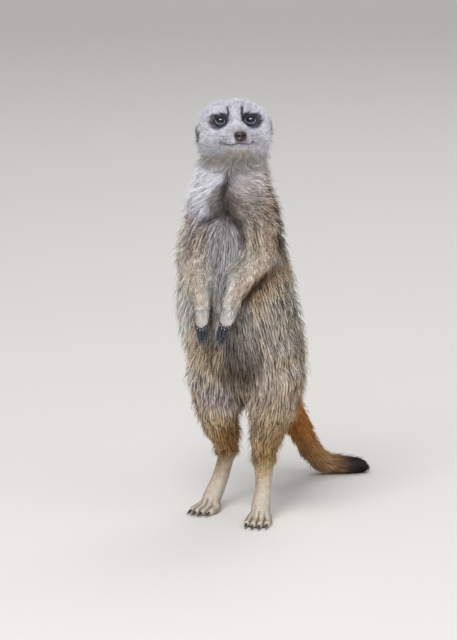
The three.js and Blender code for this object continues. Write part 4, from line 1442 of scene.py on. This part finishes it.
def whisker(rng, root, out, lengths, radius, droop):
    """Points, colours and faces of one three-sided tapering hair, set in the hide near its root."""
    place, way, _ = (found[0] for found in nearest_on_hide(root[None]))
    root = place - way * 0.3
    way = unit((np.array(out) + rng.normal(0, 0.06, 3)) @ head_axes())
    length = rng.uniform(*lengths)
    droop = droop if isinstance(droop, float) else rng.uniform(*droop)
    side = unit(np.cross(way, (0, 0, 1)))
    up = np.cross(side, way)
    points, paint, faces = [], [], []
    for i in range(WHISKER_STEPS + 1):
        t = i / WHISKER_STEPS
        middle = root + way * length * t - np.array([0, 0, 1]) * droop * length * t * t
        r = radius * (1 - 0.92 * t)
        for k in range(3):
            turn = k * math.tau / 3
            points.append(middle + side * math.cos(turn) * r + up * math.sin(turn) * r)
            paint.append((0.35, 0.33, 0.35) if t > 0.4 else (0.12, 0.11, 0.12))
    for i in range(WHISKER_STEPS):
        for k in range(3):
            a, b = i * 3 + k, i * 3 + (k + 1) % 3
            faces += [(a, b, b + 3), (a, b + 3, a + 3)]
    last = WHISKER_STEPS * 3
    faces += [(0, 2, 1), (last, last + 1, last + 2)]
    return points, paint, faces


def make_whiskers():
    rng = np.random.default_rng(40)
    points, paint, faces = [], [], []

    def add(*hair):
        new_points, new_paint, new_faces = whisker(rng, *hair)
        faces.extend(tuple(v + len(points) for v in f) for f in new_faces)
        points.extend(new_points)
        paint.extend(new_paint)

    for side in (-1, 1):
        for row in range(3):
            for k in range(4):
                root = from_head((side * (5.2 + 1.1 * k), 33 - 3.0 * k, -8.0 - 1.7 * row))
                out = (side * 1.0, 0.15 - 0.1 * k, 0.16 - 0.17 * row)
                add(root, out, (15, 24), 0.11, (0.05, 0.22))
        for k in range(3):
            root = from_head((side * (6 + 2.0 * k), 20, 11))
            add(root, (side * (0.35 + 0.2 * k), 0.5, 0.8), (9, 13), 0.10, 0.05)
    obj = mesh_object("whiskers", to_frame(points), faces)
    paint_points(obj, np.array(paint))
    finish_piece(obj, "face_fur", coat_finish("whisker_hair", 0.45))


# ---------------------------------------------------------------- stage


def pick_edges(mesh, wanted):
    """Selects, in edit mode, the edges of which both ends are wanted."""
    bpy.ops.mesh.select_all(action="DESELECT")
    bm = bmesh.from_edit_mesh(mesh)
    for edge in bm.edges:
        edge.select = all(wanted(v.co) for v in edge.verts)
    bmesh.update_edit_mesh(mesh)


def make_floor(settings):
    """A wide floor whose far edge is raised into a wall with a round foot."""
    deselect()
    material, _, shader = new_material("pale_floor")
    shader.inputs["Base Color"].default_value = (*settings.floor_colour, 1)
    gloss(shader, 0.9, 0.1)
    bpy.ops.mesh.primitive_plane_add(size=9.2, location=(0, -1.2, 0))
    floor = bpy.context.object
    floor.name = floor.data.name = "studio_floor"
    bpy.ops.object.transform_apply(location=True)
    bpy.ops.object.mode_set(mode="EDIT")
    bpy.ops.mesh.select_mode(type="EDGE")
    pick_edges(floor.data, lambda co: co.y > 2)
    bpy.ops.mesh.extrude_region_move(TRANSFORM_OT_translate={"value": (0, 0, 3.2)})
    pick_edges(floor.data, lambda co: co.y > 2 and abs(co.z) < 0.01)
    bpy.ops.mesh.bevel(offset=1.0, segments=16)
    bpy.ops.object.mode_set(mode="OBJECT")
    bpy.ops.object.shade_smooth()
    floor.data.materials.append(material)


def make_camera(settings):
    middle = (SOLID_BOX[0][0] + SOLID_BOX[1][0]) / 2
    aim = Vector((middle + settings.aim_side, ORIGIN[1] / 1000, settings.aim_height))
    rise = settings.camera_rise
    back = Vector((0, -math.cos(rise), math.sin(rise)))
    camera = place_object("camera", bpy.data.cameras.new("camera"))
    camera.location = aim + back * settings.camera_distance
    camera.rotation_euler = (-back).to_track_quat("-Z", "Y").to_euler()
    camera.data.sensor_fit = "VERTICAL"
    camera.data.sensor_height = 36
    camera.data.lens = camera.data.sensor_height * settings.camera_distance / settings.view_height
    camera.data.clip_end = 50
    bpy.context.scene.camera = camera


def make_lamps(settings):
    for name, place, size, power in (
        ("key_lamp", (-0.5, -1.3, 1.9), (1.3, 1.3), settings.key_power),
        ("fill_lamp", (1.6, -1.1, 1.0), (1.8, 1.8), settings.fill_power),
        ("rim_lamp", (0.5, 1.3, 1.7), (1.2, 1.2), settings.rim_power),
        ("catch_lamp", (-0.22, -1.7, 1.2), (1.4, 0.7), settings.catch_power),
    ):
        light = bpy.data.lights.new(name, "AREA")
        light.energy = power
        light.shape = "RECTANGLE"
        light.size, light.size_y = size
        lamp = place_object(name, light)
        lamp.location = place
        lamp.visible_diffuse = name != "catch_lamp"
        lamp.visible_glossy = name in ("fill_lamp", "catch_lamp")
        lamp.rotation_euler = (Vector((0, -0.03, 0.16)) - Vector(place)).to_track_quat("-Z", "Y").to_euler()


def make_world(settings):
    """A cool sky that lights the scene, shown pale where it is seen, mirrored or seen through."""
    world = bpy.data.worlds.new("studio")
    world.use_nodes = True
    tree = world.node_tree
    sky = tree.nodes["Background"]
    sky.inputs["Color"].default_value = (0.93, 0.96, 1.0, 1)
    sky.inputs["Strength"].default_value = settings.sky
    pale = node(tree, "ShaderNodeBackground", Color=(*settings.backdrop_colour, 1))
    rays = node(tree, "ShaderNodeLightPath")
    shiny, seen = (node(tree, "ShaderNodeMath", operation="MAXIMUM") for _ in range(2))
    tree.links.new(rays.outputs["Is Glossy Ray"], shiny.inputs[0])
    tree.links.new(rays.outputs["Is Transmission Ray"], shiny.inputs[1])
    tree.links.new(rays.outputs["Is Camera Ray"], seen.inputs[0])
    tree.links.new(shiny.outputs[0], seen.inputs[1])
    either = node(tree, "ShaderNodeMixShader")
    for k, source in enumerate((seen, sky, pale)):
        tree.links.new(source.outputs[0], either.inputs[k])
    tree.links.new(either.outputs[0], tree.nodes["World Output"].inputs["Surface"])
    bpy.context.scene.world = world
    bpy.context.scene.view_settings.view_transform = "Standard"


# ---------------------------------------------------------------- settings, operators, panel


def share_of(name, description, default, least):
    return FloatProperty(
        name=name, description=description, default=default, min=least, max=1, subtype="FACTOR"
    )


def metres(name, description, default):
    return FloatProperty(name=name, description=description, default=default, unit="LENGTH")


def strength(name, description, default):
    return FloatProperty(name=name, description=description, default=default, min=0)


def paint_of(name, description, default):
    return FloatVectorProperty(
        name=name, description=description, default=default, subtype="COLOR", min=0, max=1
    )


class HideSettings(bpy.types.PropertyGroup):
    grain: FloatProperty(
        name="Grain", description="Size of the hide's mesh cells in millimetres", default=1.3, min=0.8, max=3
    )


class CoatSettings(bpy.types.PropertyGroup):
    fullness: share_of("Fullness", "Share of the full number of tufts", 0.98, 0.05)
    lock: FloatProperty(
        name="Lock size", description="Distance between locks in millimetres", default=2.35, min=0.5, max=6
    )
    clump: share_of("Clumping", "How much the tips of a lock gather", 0.85, 0)
    soften: BoolProperty(
        name="Soften", description="Shades the tufts with the form of the body under them", default=True
    )


class StageSettings(bpy.types.PropertyGroup):
    floor_colour: paint_of("Floor", "Colour of the floor and its wall", (0.72, 0.70, 0.67))
    backdrop_colour: paint_of("Backdrop", "Colour seen beyond the floor", (0.62, 0.61, 0.585))
    camera_distance: metres("Camera distance", "From the camera to the animal", 3.0)
    camera_rise: FloatProperty(
        name="Camera rise",
        description="How far the camera looks down",
        default=math.radians(12.5),
        subtype="ANGLE",
    )
    view_height: metres("View height", "Height of the view at the animal", 0.46848)
    aim_height: metres("Aim height", "Height of the point at the middle of the view", 0.1477)
    aim_side: metres("Aim side", "How far beside the box's middle the camera aims", -0.03687)
    key_power: strength("Key lamp", "Watts of the lamp before and above", 36)
    fill_power: strength("Fill lamp", "Watts of the lamp at the side", 9)
    rim_power: strength("Rim lamp", "Watts of the lamp behind", 9)
    catch_power: strength("Catch lamp", "Watts of the lamp that shines only in the eyes, nose and claws", 70)
    sky: strength("Sky", "Strength of the light all round", 0.5)


class MEERKAT_OT_hide(bpy.types.Operator):
    """Makes the one skin that replaces the solids of flesh, with its markings"""

    bl_idname = "meerkat.make_hide"
    bl_label = "Make hide"

    def execute(self, context):
        make_hide(context.scene.meerkat_hide)
        return {"FINISHED"}


class MEERKAT_OT_coat(bpy.types.Operator):
    """Grows the coat's tufts over the hide"""

    bl_idname = "meerkat.grow_coat"
    bl_label = "Grow coat"

    def execute(self, context):
        make_coat(context.scene.meerkat_coat)
        return {"FINISHED"}


class MEERKAT_OT_eyes(bpy.types.Operator):
    """Makes the two eyes"""

    bl_idname = "meerkat.make_eyes"
    bl_label = "Make eyes"

    def execute(self, context):
        make_eyes()
        return {"FINISHED"}


class MEERKAT_OT_nose(bpy.types.Operator):
    """Makes the leather pad of the nose"""

    bl_idname = "meerkat.make_nose"
    bl_label = "Make nose"

    def execute(self, context):
        make_nose()
        return {"FINISHED"}


class MEERKAT_OT_claws(bpy.types.Operator):
    """Models the claws of all four paws"""

    bl_idname = "meerkat.make_claws"
    bl_label = "Make claws"

    def execute(self, context):
        make_claws()
        return {"FINISHED"}


class MEERKAT_OT_whiskers(bpy.types.Operator):
    """Sets the whiskers into the muzzle and brows"""

    bl_idname = "meerkat.make_whiskers"
    bl_label = "Make whiskers"

    def execute(self, context):
        make_whiskers()
        return {"FINISHED"}


class MEERKAT_OT_stage(bpy.types.Operator):
    """Sets up the floor, backdrop, lamps and camera"""

    bl_idname = "meerkat.set_stage"
    bl_label = "Set stage"

    def execute(self, context):
        for make in (make_floor, make_camera, make_lamps, make_world):
            make(context.scene.meerkat_stage)
        return {"FINISHED"}


class MEERKAT_PT_build(bpy.types.Panel):
    bl_idname = "MEERKAT_PT_build"
    bl_label = "Standing meerkat"
    bl_space_type = "VIEW_3D"
    bl_region_type = "UI"
    bl_category = "Meerkat"

    def draw(self, context):
        for title, group in (("Hide", "meerkat_hide"), ("Coat", "meerkat_coat"), ("Stage", "meerkat_stage")):
            box = self.layout.box()
            box.label(text=title)
            settings = getattr(context.scene, group)
            for name in settings.__annotations__:
                box.prop(settings, name)
        for operator in STEPS:
            self.layout.operator(operator.bl_idname)


STEPS = (
    MEERKAT_OT_hide,
    MEERKAT_OT_eyes,
    MEERKAT_OT_nose,
    MEERKAT_OT_claws,
    MEERKAT_OT_whiskers,
    MEERKAT_OT_coat,
    MEERKAT_OT_stage,
)
GROUPS = {"meerkat_hide": HideSettings, "meerkat_coat": CoatSettings, "meerkat_stage": StageSettings}


def register():
    for group in GROUPS.values():
        bpy.utils.register_class(group)
    for step in STEPS:
        bpy.utils.register_class(step)
    bpy.utils.register_class(MEERKAT_PT_build)
    for name, group in GROUPS.items():
        setattr(bpy.types.Scene, name, PointerProperty(type=group))


def unregister():
    for name in GROUPS:
        delattr(bpy.types.Scene, name)
    for part in (MEERKAT_PT_build, *reversed(STEPS), *GROUPS.values()):
        bpy.utils.unregister_class(part)


def main():
    register()
    for step in STEPS:
        group, action = step.bl_idname.split(".")
        getattr(getattr(bpy.ops, group), action)()


if __name__ == "__main__":
    main()
